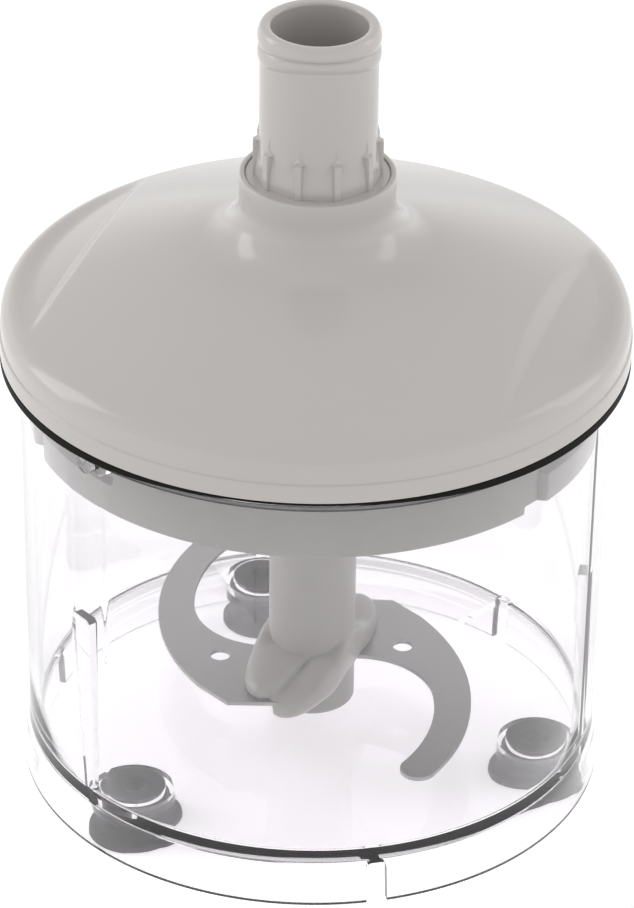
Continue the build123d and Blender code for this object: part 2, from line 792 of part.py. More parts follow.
with BuildPart() as gearbox_screws:
    with BuildSketch(Plane.XY.offset(flange_top)):
        with PolarLocations(screw_circle, screw_count, start_angle=45):
            Circle(screw_radius - screw_fit)
    extrude(amount=-screw_length)
    with BuildSketch(Plane.XY.offset(flange_top)):
        with PolarLocations(screw_circle, screw_count, start_angle=45):
            Circle(screw_head_radius)
    extrude(amount=screw_head_height)
    fillet(gearbox_screws.edges().group_by(Axis.Z)[-1], screw_head_rounding)
    with BuildSketch(Plane.XY.offset(flange_top + screw_head_height)):
        with PolarLocations(screw_circle, screw_count, start_angle=45):
            RegularPolygon(hex_socket_radius, 6)
    extrude(amount=-hex_socket_depth, mode=Mode.SUBTRACT)
gearbox_screws.part.label = "gearbox_screws"
export_step(gearbox_screws.part, "parts/gearbox_screws.step")

bush_places = {
    "input_bush_lower": flange_bottom,
    "input_bush_upper": groove_floor - input_bush_length,
}
for bush_name, bottom in bush_places.items():
    with BuildPart() as bush:
        with BuildSketch(Plane.XY.offset(bottom)):
            Circle(bush_radius)
            Circle(input_radius + running, mode=Mode.SUBTRACT)
        extrude(amount=input_bush_length)
    bush.part.label = bush_name
    export_step(bush.part, f"parts/{bush_name}.step")

sleeve_bottom = plate_bottom - sleeve_length
seal_top = sleeve_bottom + sleeve_lip + shaft_seal_height
with BuildPart() as shaft_seal:
    with BuildSketch(Plane.XY.offset(sleeve_bottom + sleeve_lip)):
        Circle(sleeve_radius - seat)
        Circle(carrier_neck_radius + running, mode=Mode.SUBTRACT)
    extrude(amount=shaft_seal_height)
shaft_seal.part.label = "shaft_seal"
export_step(shaft_seal.part, "parts/shaft_seal.step")

with BuildPart() as carrier_bush:
    with BuildSketch(Plane.XY.offset(seal_top)):
        Circle(sleeve_radius - seat)
        Circle(carrier_neck_radius + running, mode=Mode.SUBTRACT)
    extrude(amount=plate_top - seal_top)
carrier_bush.part.label = "carrier_bush"
export_step(carrier_bush.part, "parts/carrier_bush.step")

# ---------------------------------------------------------------- input shaft
shaft_bottom = carrier_bottom - shaft_seat_depth
shaft_top = coupling_bottom + coupling_length - coupling_roof
with BuildPart() as input_shaft:
    with BuildSketch(Plane.XY.offset(shaft_bottom)):
        Circle(input_radius)
    extrude(amount=shaft_top - shaft_bottom)
    chamfer(input_shaft.edges().group_by(Axis.Z)[0], shaft_chamfer)
    with BuildSketch(Plane.XY.offset(groove_floor + seat)):
        Circle(input_radius + bite)
        Circle(input_radius - clip_groove, mode=Mode.SUBTRACT)
    extrude(amount=clip_thickness, mode=Mode.SUBTRACT)
input_shaft.part.label = "input_shaft"
export_step(input_shaft.part, "parts/input_shaft.step")

with BuildPart() as shaft_clip:
    with BuildSketch(Plane.XY.offset(groove_floor + seat)):
        Circle(clip_radius)
        Circle(input_radius - clip_groove, mode=Mode.SUBTRACT)
        with Locations((0, -clip_radius)):
            Rectangle(2 * (input_radius - clip_groove) - clip_grip, 2 * clip_radius, mode=Mode.SUBTRACT)
    extrude(amount=clip_thickness)
shaft_clip.part.label = "shaft_clip"
export_step(shaft_clip.part, "parts/shaft_clip.step")

with BuildPart() as drive_coupling:
    with BuildSketch(Plane.XY.offset(coupling_bottom)):
        Circle(coupling_radius)
    extrude(amount=coupling_length)
    fillet(drive_coupling.edges().group_by(Axis.Z)[-1], coupling_rounding)
    with BuildSketch(Plane.XY.offset(coupling_bottom)):
        Circle(input_radius)
    extrude(amount=coupling_length - coupling_roof, mode=Mode.SUBTRACT)
    with BuildSketch(Plane.XY.offset(coupling_bottom + coupling_roof)):
        with PolarLocations(coupling_radius, coupling_splines):
            Circle(spline_radius)
    extrude(amount=coupling_length, mode=Mode.SUBTRACT)
drive_coupling.part.label = "drive_coupling"
export_step(drive_coupling.part, "parts/drive_coupling.step")

with BuildPart() as sun_gear:
    with BuildSketch(Plane.XY.offset(gear_bottom)):
        with BuildLine():
            gear_outline(sun_teeth, addendum, dedendum, backlash)
        make_face()
        Circle(input_radius, mode=Mode.SUBTRACT)
    extrude(amount=gear_width)
sun_gear.part.label = "sun_gear"
export_step(sun_gear.part, "parts/sun_gear.step")

# ---------------------------------------------------------------- planets and carrier
for index in range(planet_count):
    place = first_planet + index * 360 / planet_count
    planet_name = f"planet_gear_{index + 1}"
    spin = planet_turn(place)
    gear_plane = Plane(
        origin=on_circle(planet_circle, place) + (gear_bottom,),
        x_dir=on_circle(1, spin) + (0,),
        z_dir=(0, 0, 1),
    )
    with BuildPart() as planet_gear:
        with BuildSketch(gear_plane):
            with BuildLine():
                gear_outline(planet_teeth, addendum, dedendum, backlash)
            make_face()
            Circle(pin_radius + running, mode=Mode.SUBTRACT)
        extrude(amount=gear_width)
    planet_gear.part.label = planet_name
    export_step(planet_gear.part, f"parts/{planet_name}.step")

with BuildPart() as planet_pins:
    with BuildSketch(Plane.XY.offset(carrier_bottom)):
        with PolarLocations(planet_circle, planet_count, start_angle=first_planet):
            Circle(pin_radius)
    extrude(amount=gear_top + gear_gap - carrier_bottom)
planet_pins.part.label = "planet_pins"
export_step(planet_pins.part, "parts/planet_pins.step")

with BuildPart() as planet_carrier:
    with BuildSketch(Plane.XY.offset(carrier_bottom)):
        Circle(planet_circle + pin_radius + carrier_margin)
    extrude(amount=carrier_thickness)
    with BuildSketch(Plane.XY.offset(neck_bottom)):
        Circle(carrier_neck_radius)
    extrude(amount=carrier_bottom - neck_bottom)
    # Claws that reach down into the top of the blade's tube
    for index in range(claw_count):
        with BuildSketch(Plane.XY.offset(neck_bottom)):
            ring_sector(claw_inner, claw_outer, index * 360 / claw_count - claw_angle / 2, claw_angle)
        extrude(amount=-claw_height)
    # Seat for the input shaft and holes for the pins
    with BuildSketch(Plane.XY.offset(shaft_bottom - shaft_end_room)):
        Circle(input_radius + running)
    extrude(amount=carrier_top - shaft_bottom + shaft_end_room, mode=Mode.SUBTRACT)
    with BuildSketch(Plane.XY.offset(carrier_bottom)):
        with PolarLocations(planet_circle, planet_count, start_angle=first_planet):
            Circle(pin_radius)
    extrude(amount=carrier_thickness, mode=Mode.SUBTRACT)
planet_carrier.part.label = "planet_carrier"
export_step(planet_carrier.part, "parts/planet_carrier.step")
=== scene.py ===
"""Looks of the gear-lid chopper bowl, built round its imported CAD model.

Metres, +Z up, front is -Y, as in the CAD model. Sizes in the tables are in millimetres.
"""

import math

import bmesh
import bpy
from mathutils import Matrix, Vector


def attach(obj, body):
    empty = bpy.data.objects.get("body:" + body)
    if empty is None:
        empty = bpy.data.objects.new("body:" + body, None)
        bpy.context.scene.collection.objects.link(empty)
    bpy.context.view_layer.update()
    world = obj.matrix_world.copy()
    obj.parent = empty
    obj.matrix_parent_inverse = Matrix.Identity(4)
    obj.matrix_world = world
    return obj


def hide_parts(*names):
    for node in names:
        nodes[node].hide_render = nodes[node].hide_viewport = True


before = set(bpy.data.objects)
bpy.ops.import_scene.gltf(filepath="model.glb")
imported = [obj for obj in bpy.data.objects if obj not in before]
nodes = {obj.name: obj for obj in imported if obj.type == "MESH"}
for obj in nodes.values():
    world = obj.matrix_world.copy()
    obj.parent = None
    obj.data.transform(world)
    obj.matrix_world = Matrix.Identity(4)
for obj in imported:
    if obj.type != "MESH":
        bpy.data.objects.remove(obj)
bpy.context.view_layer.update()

MM = 0.001

# ---------------------------------------------------------------- camera
CAMERA_TARGET_HEIGHT = 62.7 * MM
CAMERA_DISTANCE = 1.068
CAMERA_ELEVATION = math.radians(31.34)
CAMERA_ROLL = math.radians(0.75)
CAMERA_LENS = 199.0  # mm, for a 36 mm long side
CAMERA_SHIFT = (0.0036, 0.0437)


def add_camera():
    """The camera in front of the object, looking down at it through a long lens."""
    data = bpy.data.cameras.new("camera")
    data.lens = CAMERA_LENS
    data.sensor_width = 36.0
    data.shift_x, data.shift_y = CAMERA_SHIFT
    data.clip_start = 0.05
    camera = bpy.data.objects.new("camera", data)
    bpy.context.scene.collection.objects.link(camera)
    target = Vector((0, 0, CAMERA_TARGET_HEIGHT))
    back = Vector((0, -math.cos(CAMERA_ELEVATION), math.sin(CAMERA_ELEVATION)))
    turn = back.to_track_quat("Z", "Y").to_matrix().to_4x4()
    roll = Matrix.Rotation(CAMERA_ROLL, 4, "Z")
    camera.matrix_world = Matrix.Translation(target + back * CAMERA_DISTANCE) @ turn @ roll
    bpy.context.scene.camera = camera


# ---------------------------------------------------------------- materials
GRAIN_SCALE = 900.0
COLOUR_SCALE = 25.0
GLOSS_SCALE = 60.0
SKIN_DEPTH = 0.004


def new_material(name):
    """A material with an empty node tree, its output and a Principled shader."""
    material = bpy.data.materials.new(name)
    material.use_nodes = True
    tree = material.node_tree
    tree.nodes.clear()
    output = tree.nodes.new("ShaderNodeOutputMaterial")
    shader = tree.nodes.new("ShaderNodeBsdfPrincipled")
    tree.links.new(shader.outputs[0], output.inputs[0])
    return material, tree, shader, output


def noise(tree, scale, detail=3.0, stretch=(1, 1, 1)):
    """Noise in object space; returns its Fac socket."""
    place = tree.nodes.new("ShaderNodeTexCoord")
    mapping = tree.nodes.new("ShaderNodeMapping")
    mapping.inputs["Scale"].default_value = stretch
    texture = tree.nodes.new("ShaderNodeTexNoise")
    texture.inputs["Scale"].default_value = scale
    texture.inputs["Detail"].default_value = detail
    tree.links.new(place.outputs["Object"], mapping.inputs["Vector"])
    tree.links.new(mapping.outputs["Vector"], texture.inputs["Vector"])
    return texture.outputs["Fac"]


def spread(tree, value, low, high):
    """Map a 0..1 socket onto low..high."""
    node = tree.nodes.new("ShaderNodeMapRange")
    node.inputs["To Min"].default_value = low
    node.inputs["To Max"].default_value = high
    tree.links.new(value, node.inputs["Value"])
    return node.outputs["Result"]


def tint(tree, value, first, second):
    """Blend two colours by a 0..1 socket."""
    node = tree.nodes.new("ShaderNodeMix")
    node.data_type = "RGBA"
    node.inputs[6].default_value = (*first, 1)
    node.inputs[7].default_value = (*second, 1)
    tree.links.new(value, node.inputs[0])
    return node.outputs[2]


def bump(tree, shader, value, distance):
    """Raise the surface by distance metres where value is high."""
    node = tree.nodes.new("ShaderNodeBump")
    node.inputs["Distance"].default_value = distance
    node.inputs["Strength"].default_value = 1.0
    tree.links.new(value, node.inputs["Height"])
    tree.links.new(node.outputs[0], shader.inputs["Normal"])


def plastic(name, colour, roughness, variation=0.02, grain=0.000003, subsurface=0.0, ior=1.5):
    """Opaque moulded plastic: a slight colour drift, uneven gloss and a fine skin."""
    material, tree, shader, _ = new_material(name)
    darker = tuple(c * (1 - variation) for c in colour)
    lighter = tuple(min(1.0, c * (1 + variation)) for c in colour)
    tree.links.new(tint(tree, noise(tree, COLOUR_SCALE), darker, lighter), shader.inputs["Base Color"])
    gloss = spread(tree, noise(tree, GLOSS_SCALE, 5.0), roughness * 0.8, roughness * 1.2)
    tree.links.new(gloss, shader.inputs["Roughness"])
    shader.inputs["IOR"].default_value = ior
    shader.inputs["Subsurface Weight"].default_value = subsurface
    if subsurface:
        shader.inputs["Subsurface Radius"].default_value = (SKIN_DEPTH, SKIN_DEPTH, SKIN_DEPTH)
    bump(tree, shader, noise(tree, GRAIN_SCALE, 2.0), grain)
    return material


def metal(name, colour, roughness, scale=400.0, stretch=(1, 1, 1), grain=0.000002):
    """Worked metal with fine tool marks."""
    material, tree, shader, _ = new_material(name)
    darker = tuple(c * 0.96 for c in colour)
    marks = noise(tree, scale, 4.0, stretch)
    tree.links.new(tint(tree, marks, darker, colour), shader.inputs["Base Color"])
    shader.inputs["Metallic"].default_value = 1.0
    tree.links.new(spread(tree, marks, roughness * 0.85, roughness * 1.2), shader.inputs["Roughness"])
    bump(tree, shader, marks, grain)
    return material


def clear(name, colour, roughness=0.02, ior=1.57):
    """Clear moulded plastic. Lamps shine straight through it, so that what it holds is lit."""
    material, tree, shader, output = new_material(name)
    shader.inputs["Base Color"].default_value = (*colour, 1)
    shader.inputs["Roughness"].default_value = roughness
    shader.inputs["IOR"].default_value = ior
    shader.inputs["Transmission Weight"].default_value = 1.0
    light_path = tree.nodes.new("ShaderNodeLightPath")
    through = tree.nodes.new("ShaderNodeBsdfTransparent")
    through.inputs[0].default_value = (*colour, 1)
    mix = tree.nodes.new("ShaderNodeMixShader")
    tree.links.new(light_path.outputs["Is Shadow Ray"], mix.inputs[0])
    tree.links.new(shader.outputs[0], mix.inputs[1])
    tree.links.new(through.outputs[0], mix.inputs[2])
    tree.links.new(mix.outputs[0], output.inputs[0])
    return material


MATERIALS = {
    "clear_plastic": clear("clear_plastic", (0.982, 0.970, 0.986)),
    "grey_gloss": plastic("grey_gloss", (0.43, 0.407, 0.391), 0.16),
    "grey_inner": plastic("grey_inner", (0.435, 0.418, 0.403), 0.35, grain=0.0000005),
    "hub_plastic": plastic("hub_plastic", (0.408, 0.392, 0.378), 0.35, subsurface=0.3),
    "blade_steel": metal("blade_steel", (0.40, 0.39, 0.385), 0.38, 500.0, (1, 8, 1)),
    "shaft_steel": metal("shaft_steel", (0.66, 0.65, 0.63), 0.22, stretch=(1, 1, 10)),
    "foot_rubber": plastic("foot_rubber", (0.042, 0.040, 0.042), 0.6, 0.06, 0.000004),
    # seal_rubber is black rubber, made darker still and given a weak reflection so the seal's lip reads
    # as painted shade between rim and lid.
    "seal_rubber": plastic("seal_rubber", (0.008, 0.008, 0.007), 0.6, 0.1, ior=1.15),
    "gear_nylon": plastic("gear_nylon", (0.78, 0.77, 0.72), 0.38, subsurface=0.2),
    "gear_steel": metal("gear_steel", (0.55, 0.55, 0.54), 0.3),
    "bush_bronze": metal("bush_bronze", (0.60, 0.42, 0.24), 0.35),
    "screw_steel": metal("screw_steel", (0.6, 0.6, 0.6), 0.25),
    "coupling_black": plastic("coupling_black", (0.03, 0.03, 0.032), 0.35, 0.1),
}


def paint_cad_nodes():
    """Give every CAD node the better material of its record slot."""
    for node in nodes.values():
        for slot in node.material_slots:
            slot.material = MATERIALS[slot.material.name.split(".")[0]]


# ---------------------------------------------------------------- mesh helpers
def smooth_step(value):
    """0 below 0, 1 above 1, and a soft ramp between."""
    value = min(1.0, max(0.0, value))
    return value * value * (3 - 2 * value)


def soft_min(first, second, blend):
    """The lower of two values, with a rounded change over."""
    share = min(1.0, max(0.0, 0.5 + 0.5 * (second - first) / blend))
    return second + (first - second) * share - blend * share * (1 - share)


def bezier(start, middle, end, steps):
    """Points on a quadratic curve, without its last point."""
    points = []
    for step in range(steps):
        t = step / steps
        a, b, c = (1 - t) ** 2, 2 * t * (1 - t), t * t
        points.append(tuple(a * p + b * q + c * r for p, q, r in zip(start, middle, end)))
    return points


def line(start, end, steps):
    """Points on a straight line, without its last point."""
    return [tuple(p + (q - p) * step / steps for p, q in zip(start, end)) for step in range(steps)]


def on_circle(radius, turn):
    """The point at an angle in degrees on a circle about the axis."""
    return radius * math.cos(math.radians(turn)), radius * math.sin(math.radians(turn))


def circle_outline(radius, count=40, centre=(0.0, 0.0)):
    """Points on a circle."""
    angles = [2 * math.pi * k / count for k in range(count)]
    return [(centre[0] + radius * math.cos(a), centre[1] + radius * math.sin(a)) for a in angles]


def new_object(name, mesh_data, body, slot, angle=40.0):
    """Link a mesh as a smooth-shaded piece that rides on a CAD body."""
    for polygon in mesh_data.polygons:
        polygon.use_smooth = True
    mesh_data.set_sharp_from_angle(angle=math.radians(angle))
    piece = bpy.data.objects.new(name, mesh_data)
    bpy.context.scene.collection.objects.link(piece)
    mesh_data.materials.append(MATERIALS[slot])
    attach(piece, body)
    return piece


def turned_mesh(name, profile, count, shape=None, centre=(0.0, 0.0)):
    """A solid turned about an upright axis from a closed (r, z) line in millimetres.

    shape(r, z, angle) moves a point to a new (r, z). Points on the axis are shared.
    """
    verts, faces = [], []
    rings = []
    for r, z in profile:
        ring = []
        if r == 0:
            verts.append((centre[0] * MM, centre[1] * MM, z * MM))
            ring = [len(verts) - 1] * count
        else:
            for step in range(count):
                angle = 2 * math.pi * step / count
                new_r, new_z = shape(r, z, angle) if shape else (r, z)
                x = centre[0] + new_r * math.cos(angle)
                y = centre[1] + new_r * math.sin(angle)
                ring.append(len(verts))
                verts.append((x * MM, y * MM, new_z * MM))
        rings.append(ring)
    for row in range(len(rings)):
        this, following = rings[row], rings[(row + 1) % len(rings)]
        if this[0] == this[1] and following[0] == following[1]:
            continue
        for step in range(count):
            after = (step + 1) % count
            loop = [this[step], this[after], following[after], following[step]]
            loop = [v for k, v in enumerate(loop) if v != loop[k - 1]]
            if len(loop) > 2:
                faces.append(loop)
    data = bpy.data.meshes.new(name)
    data.from_pydata(verts, [], faces)
    mesh = bmesh.new()
    mesh.from_mesh(data)
    bmesh.ops.recalc_face_normals(mesh, faces=mesh.faces)
    mesh.to_mesh(data)
    mesh.free()
    return data


def polygon_prism(name, outline, depth, matrix):
    """A closed prism: a flat outline (x, y) in millimetres, depth deep along +Z, placed by matrix."""
    mesh = bmesh.new()
    low = [mesh.verts.new((x * MM, y * MM, 0)) for x, y in outline]
    high = [mesh.verts.new((x * MM, y * MM, depth * MM)) for x, y in outline]
    mesh.faces.new(list(reversed(low)))
    mesh.faces.new(high)
    for index in range(len(outline)):
        after = (index + 1) % len(outline)
        mesh.faces.new((low[index], low[after], high[after], high[index]))
    bmesh.ops.recalc_face_normals(mesh, faces=mesh.faces)
    mesh.transform(matrix)
    data = bpy.data.meshes.new(name)
    mesh.to_mesh(data)
    mesh.free()
    return data


def combine(base, parts, operation):
    """Union with, or cut by, a list of meshes; returns the new mesh."""
    target = bpy.data.objects.new("target", base)
    bpy.context.scene.collection.objects.link(target)
    tools = []
    for part in parts:
        tool = bpy.data.objects.new("tool", part)
        bpy.context.scene.collection.objects.link(tool)
        modifier = target.modifiers.new("combine", "BOOLEAN")
        modifier.operation = operation
        modifier.solver = "EXACT"
        modifier.object = tool
        tools.append(tool)
    graph = bpy.context.evaluated_depsgraph_get()
    result = bpy.data.meshes.new_from_object(target.evaluated_get(graph))
    for item in [target, *tools]:
        bpy.data.objects.remove(item)
    return result


# ---------------------------------------------------------------- lid
# Points are (distance from the axis, height). A *_BEND is the corner that a curve rounds off, and
# an *_EASE is the size of a small rounding.
LID_TURN_STEPS = 360
LID_BOTTOM = 100.3
LID_RADIUS = 66.0
LID_WALL = 2.2
LID_EASE = 0.5
BAND_TOP = 104.2
BAND_BEND = (LID_RADIUS, 104.45)
BAND_STEP = (65.72, 104.6)
BROW = (65.66, 107.4)
BROW_BEND = (65.5, 110.3)
SHOULDER = (62.3, 111.8)
CROWN = (43.5, 119.2)
FLARE = (24.2, 124.9)
FLARE_BEND = (17.0, 127.2)
NECK_RADIUS = 16.2
NECK_FOOT = 133.7
NECK_TOP = 140.1
NECK_EASE = 0.45
NECK_BORE = 15.0
BORE_EASE = 0.4
SLEEVE_RADIUS = 16.8
SLEEVE_BOTTOM = 116.2
SLEEVE_TOP = 125.0
RIM_INSIDE = 63.8
RIM_INSIDE_TOP = 105.7
RIM_INSIDE_BEND = (63.4, 108.6)
RIM_EASE = 0.3
DOME_INSIDE = 24.0
DOME_LOW = LID_BOTTOM + 5
SCOOP_ANGLES = (163.0, 343.0)
SCOOP_REACH = 47.5
SCOOP_CURVE = 240.0
SCOOP_HALF_CHORD = 38.0
SCOOP_DEPTH = 2.1
SCOOP_SLOPE = 0.68
SCOOP_ROUND = 0.02
SCOOP_BLEND = 0.1
SCOOP_FADE_START = 58.0
SCOOP_FADE = 6.5


def scoop_drop(r, angle):
    """How far a point of the dome is lowered by the two crescent grip scoops."""
    drop = 0.0
    for turn in SCOOP_ANGLES:
        along = r * math.cos(angle - math.radians(turn))
        across = r * math.sin(angle - math.radians(turn))
        if along <= 0 or abs(across) >= SCOOP_HALF_CHORD:
            continue
        inside = SCOOP_CURVE - math.hypot(along - SCOOP_REACH - SCOOP_CURVE, across)
        if inside <= -1:
            continue
        floor = SCOOP_DEPTH * (1 - (across / SCOOP_HALF_CHORD) ** 2)
        wall = SCOOP_SLOPE * (inside + math.sqrt(inside * inside + SCOOP_ROUND)) / 2
        drop = max(drop, soft_min(wall, floor, SCOOP_BLEND))
    rim_fade = 1 - smooth_step((r - SCOOP_FADE_START) / SCOOP_FADE)
    return max(0.0, drop) * rim_fade


def shape_dome(r, z, angle):
    """Lower the dome where the scoops are; the neck and the edge keep their shape."""
    if r > DOME_INSIDE and z > DOME_LOW:
        return r, z - scoop_drop(r, angle)
    return r, z


def build_lid():
    """Domed lid with its neck, two grip scoops and a soft edge."""
    outside = (LID_RADIUS, LID_BOTTOM + LID_EASE)
    neck_edge = (NECK_RADIUS, NECK_TOP - NECK_EASE)
    bore_edge = (NECK_BORE, NECK_TOP - BORE_EASE)
    inner_crown = (CROWN[0], CROWN[1] - LID_WALL)
    inner_flare = (FLARE[0], FLARE[1] - LID_WALL)
    inner_shoulder = (SHOULDER[0] - LID_WALL / 2, SHOULDER[1] - LID_WALL)
    inner_top = (RIM_INSIDE, RIM_INSIDE_TOP)
    inner_edge = (RIM_INSIDE, LID_BOTTOM + RIM_EASE)

    profile = line(outside, (LID_RADIUS, BAND_TOP), 4)
    profile += bezier((LID_RADIUS, BAND_TOP), BAND_BEND, BAND_STEP, 3)
    profile += line(BAND_STEP, BROW, 4)
    profile += bezier(BROW, BROW_BEND, SHOULDER, 12)
    profile += bezier(SHOULDER, CROWN, FLARE, 120)
    profile += bezier(FLARE, FLARE_BEND, (NECK_RADIUS, NECK_FOOT), 20)
    profile += line((NECK_RADIUS, NECK_FOOT), neck_edge, 4)
    profile += bezier(neck_edge, (NECK_RADIUS, NECK_TOP), (NECK_RADIUS - NECK_EASE, NECK_TOP), 4)
    profile += bezier((NECK_BORE + BORE_EASE, NECK_TOP), (NECK_BORE, NECK_TOP), bore_edge, 4)
    profile += line(bore_edge, (NECK_BORE, SLEEVE_BOTTOM), 3)
    profile += line((NECK_BORE, SLEEVE_BOTTOM), (SLEEVE_RADIUS, SLEEVE_BOTTOM), 1)
    profile += line((SLEEVE_RADIUS, SLEEVE_BOTTOM), (SLEEVE_RADIUS, SLEEVE_TOP), 2)
    profile += line((SLEEVE_RADIUS, SLEEVE_TOP), inner_flare, 2)
    profile += bezier(inner_flare, inner_crown, inner_shoulder, 60)
    profile += bezier(inner_shoulder, RIM_INSIDE_BEND, inner_top, 6)
    profile += line(inner_top, inner_edge, 3)
    profile += bezier(inner_edge, (RIM_INSIDE, LID_BOTTOM), (RIM_INSIDE + RIM_EASE, LID_BOTTOM), 3)
    profile += bezier((LID_RADIUS - LID_EASE, LID_BOTTOM), (LID_RADIUS, LID_BOTTOM), outside, 4)
    data = turned_mesh("lid_shell", profile, LID_TURN_STEPS, shape_dome)
    piece = new_object("lid_shell", data, "lid", "grey_gloss", 50.0)
    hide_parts("lid_cover")


# ---------------------------------------------------------------- blade unit
HUB_STEPS = 216
HUB_RADIUS = 9.3
HUB_BOTTOM = 13.0
HUB_BOTTOM_EASE = 0.8
HUB_TOP = 92.0
HUB_TOP_EASE = 0.4
HUB_BORE = 7.3
HUB_WEB = (46.4, 48.0)  # the closed part inside the tube, from and to
PIN_ROOM = 3.4
BUSH_ROOM = 4.3
BUSH_SEAT = (20.4, 30.1)
COLLAR_SKIN = 0.9  # rows this near the hub's outside take the collar's shape
COLLAR_ROWS_LOW = 13.2
COLLAR_ROWS_HIGH = 36.0
COLLAR_FINE_TO = 35.0
COLLAR_TURN = 68.0
COLLAR_LENGTH = 22.6
COLLAR_WIDTH = 10.0
COLLAR_SKEW = math.radians(8.0)  # each band starts late and ends early by this
COLLAR_FULLNESS = 2.6
COLLAR_MERGE = 5
# The middle height and half thickness of one band along its half turn: it starts under the
# blade, climbs past the blade's edge and ends on top of the opposite arm.
COLLAR_BAND = (
    (0.0, 21.6, 4.3),
    (0.2, 24.0, 4.2),
    (0.38, 26.3, 4.1),
    (0.6, 26.4, 4.2),
    (0.8, 24.4, 4.0),
    (1.0, 24.8, 3.4),
)
COLLAR_START = 0.05
COLLAR_END = 0.12
COLLAR_END_FADE = 1.4


def band_at(turn):
    """Middle height and half thickness of a collar band at a part of its half turn."""
    turn = min(1.0, max(0.0, turn))
    for before, after in zip(COLLAR_BAND, COLLAR_BAND[1:]):
        if turn <= after[0]:
            share = smooth_step((turn - before[0]) / (after[0] - before[0]))
            return tuple(a + (b - a) * share for a, b in zip(before[1:], after[1:]))
    return COLLAR_BAND[-1][1:]


def shape_collar(r, z, angle):
    """Hub tube with two screw-like collar bands, each from under one blade arm to over the other."""
    if r < HUB_RADIUS - COLLAR_SKIN or not COLLAR_ROWS_LOW < z < COLLAR_ROWS_HIGH:
        return r, z
    plan = angle - math.radians(COLLAR_TURN)
    total = 0.0
    for half in (0, 1):
        turn = (plan / math.pi + 1 + half) % 2
        if turn > 1.5:
            turn -= 2
        off = math.pi * turn - COLLAR_SKEW if turn < 0.5 else math.pi * (turn - 1) + COLLAR_SKEW
        across = math.hypot(COLLAR_WIDTH * math.cos(off), COLLAR_LENGTH * math.sin(off))
        reach = COLLAR_LENGTH * COLLAR_WIDTH / across
        height, thick = band_at(turn)
        start = smooth_step((turn + COLLAR_START) / COLLAR_START)
        end = smooth_step((1 + COLLAR_END - turn) / (COLLAR_END_FADE * COLLAR_END))
        side = 1 - abs((z - height) / thick) ** COLLAR_FULLNESS
        if side > 0:
            swell = (reach - HUB_RADIUS) * start * end * math.sqrt(side)
            total = (total**COLLAR_MERGE + swell**COLLAR_MERGE) ** (1 / COLLAR_MERGE)
    return r + total, z


def build_hub():
    """Milky hub tube with the moulded collar that grips the blade."""
    foot_edge = (HUB_RADIUS, HUB_BOTTOM + HUB_BOTTOM_EASE)
    top_edge = (HUB_RADIUS, HUB_TOP - HUB_TOP_EASE)
    profile = bezier((HUB_RADIUS - HUB_BOTTOM_EASE, HUB_BOTTOM), (HUB_RADIUS, HUB_BOTTOM), foot_edge, 5)
    profile += line(foot_edge, (HUB_RADIUS, COLLAR_FINE_TO), 100)
    profile += line((HUB_RADIUS, COLLAR_FINE_TO), top_edge, 14)
    profile += bezier(top_edge, (HUB_RADIUS, HUB_TOP), (HUB_RADIUS - HUB_TOP_EASE, HUB_TOP), 4)
    profile += [(HUB_BORE + HUB_TOP_EASE, HUB_TOP), (HUB_BORE, HUB_TOP - HUB_TOP_EASE)]
    profile += [(HUB_BORE, HUB_WEB[1]), (0.0, HUB_WEB[1]), (0.0, HUB_WEB[0])]
    profile += [(PIN_ROOM, HUB_WEB[0]), (PIN_ROOM, BUSH_SEAT[1])]
    profile += [(BUSH_ROOM, BUSH_SEAT[1]), (BUSH_ROOM, BUSH_SEAT[0])]
    profile += [(HUB_BORE, BUSH_SEAT[0]), (HUB_BORE, HUB_BOTTOM + HUB_TOP_EASE)]
    profile += [(HUB_BORE + HUB_TOP_EASE, HUB_BOTTOM)]
    data = turned_mesh("hub_body", profile, HUB_STEPS, shape_collar)
    piece = new_object("hub_body", data, "blade", "hub_plastic", 60.0)
    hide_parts("blade_hub")


# Seen from above, (x, y) in millimetres: one wing of the blade, which the other mirrors
BLADE_LOW = 22.7
BLADE_HIGH = 23.6
BLADE_BEVEL = 0.2
BLADE_BEVEL_ANGLE = 50
BLADE_ROOT = ((4.0, 20.6), (17.8, 20.6), (23.9, 14.0))
BLADE_BACK = (34.0, -16.3)
BLADE_TIP = ((25.4, -46.3), (20.4, -47.6), (19.0, -42.6))
BLADE_EDGE = (25.0, -29.5)
BLADE_THROAT = ((26.0, -17.0), (20.2, -5.6), (9.8, -1.7))
BLADE_HOLE_CIRCLE = 19.9
BLADE_HOLE = 2.15
BLADE_HOLE_TURNS = (6.5, 186.5)
BLADE_BORE = 4.35
BLADE_ROUND_STEPS = 48
CUTTER_LOW = 21.0
CUTTER_DEPTH = 4.0


def arc(start, through, end, steps):
    """Points on the circle through three points, without the last one."""
    ax, ay = start
    bx, by = through
    cx, cy = end
    a2, b2, c2 = ax**2 + ay**2, bx**2 + by**2, cx**2 + cy**2
    d = 2 * (ax * (by - cy) + bx * (cy - ay) + cx * (ay - by))
    ux = (a2 * (by - cy) + b2 * (cy - ay) + c2 * (ay - by)) / d
    uy = (a2 * (cx - bx) + b2 * (ax - cx) + c2 * (bx - ax)) / d
    radius = math.hypot(ax - ux, ay - uy)
    first = math.atan2(ay - uy, ax - ux)
    middle = math.atan2(by - uy, bx - ux)
    last = math.atan2(cy - uy, cx - ux)
    turn = (last - first) % (2 * math.pi)
    if (middle - first) % (2 * math.pi) > turn:
        turn -= 2 * math.pi
    angles = [first + turn * step / steps for step in range(steps)]
    return [(ux + radius * math.cos(angle), uy + radius * math.sin(angle)) for angle in angles]


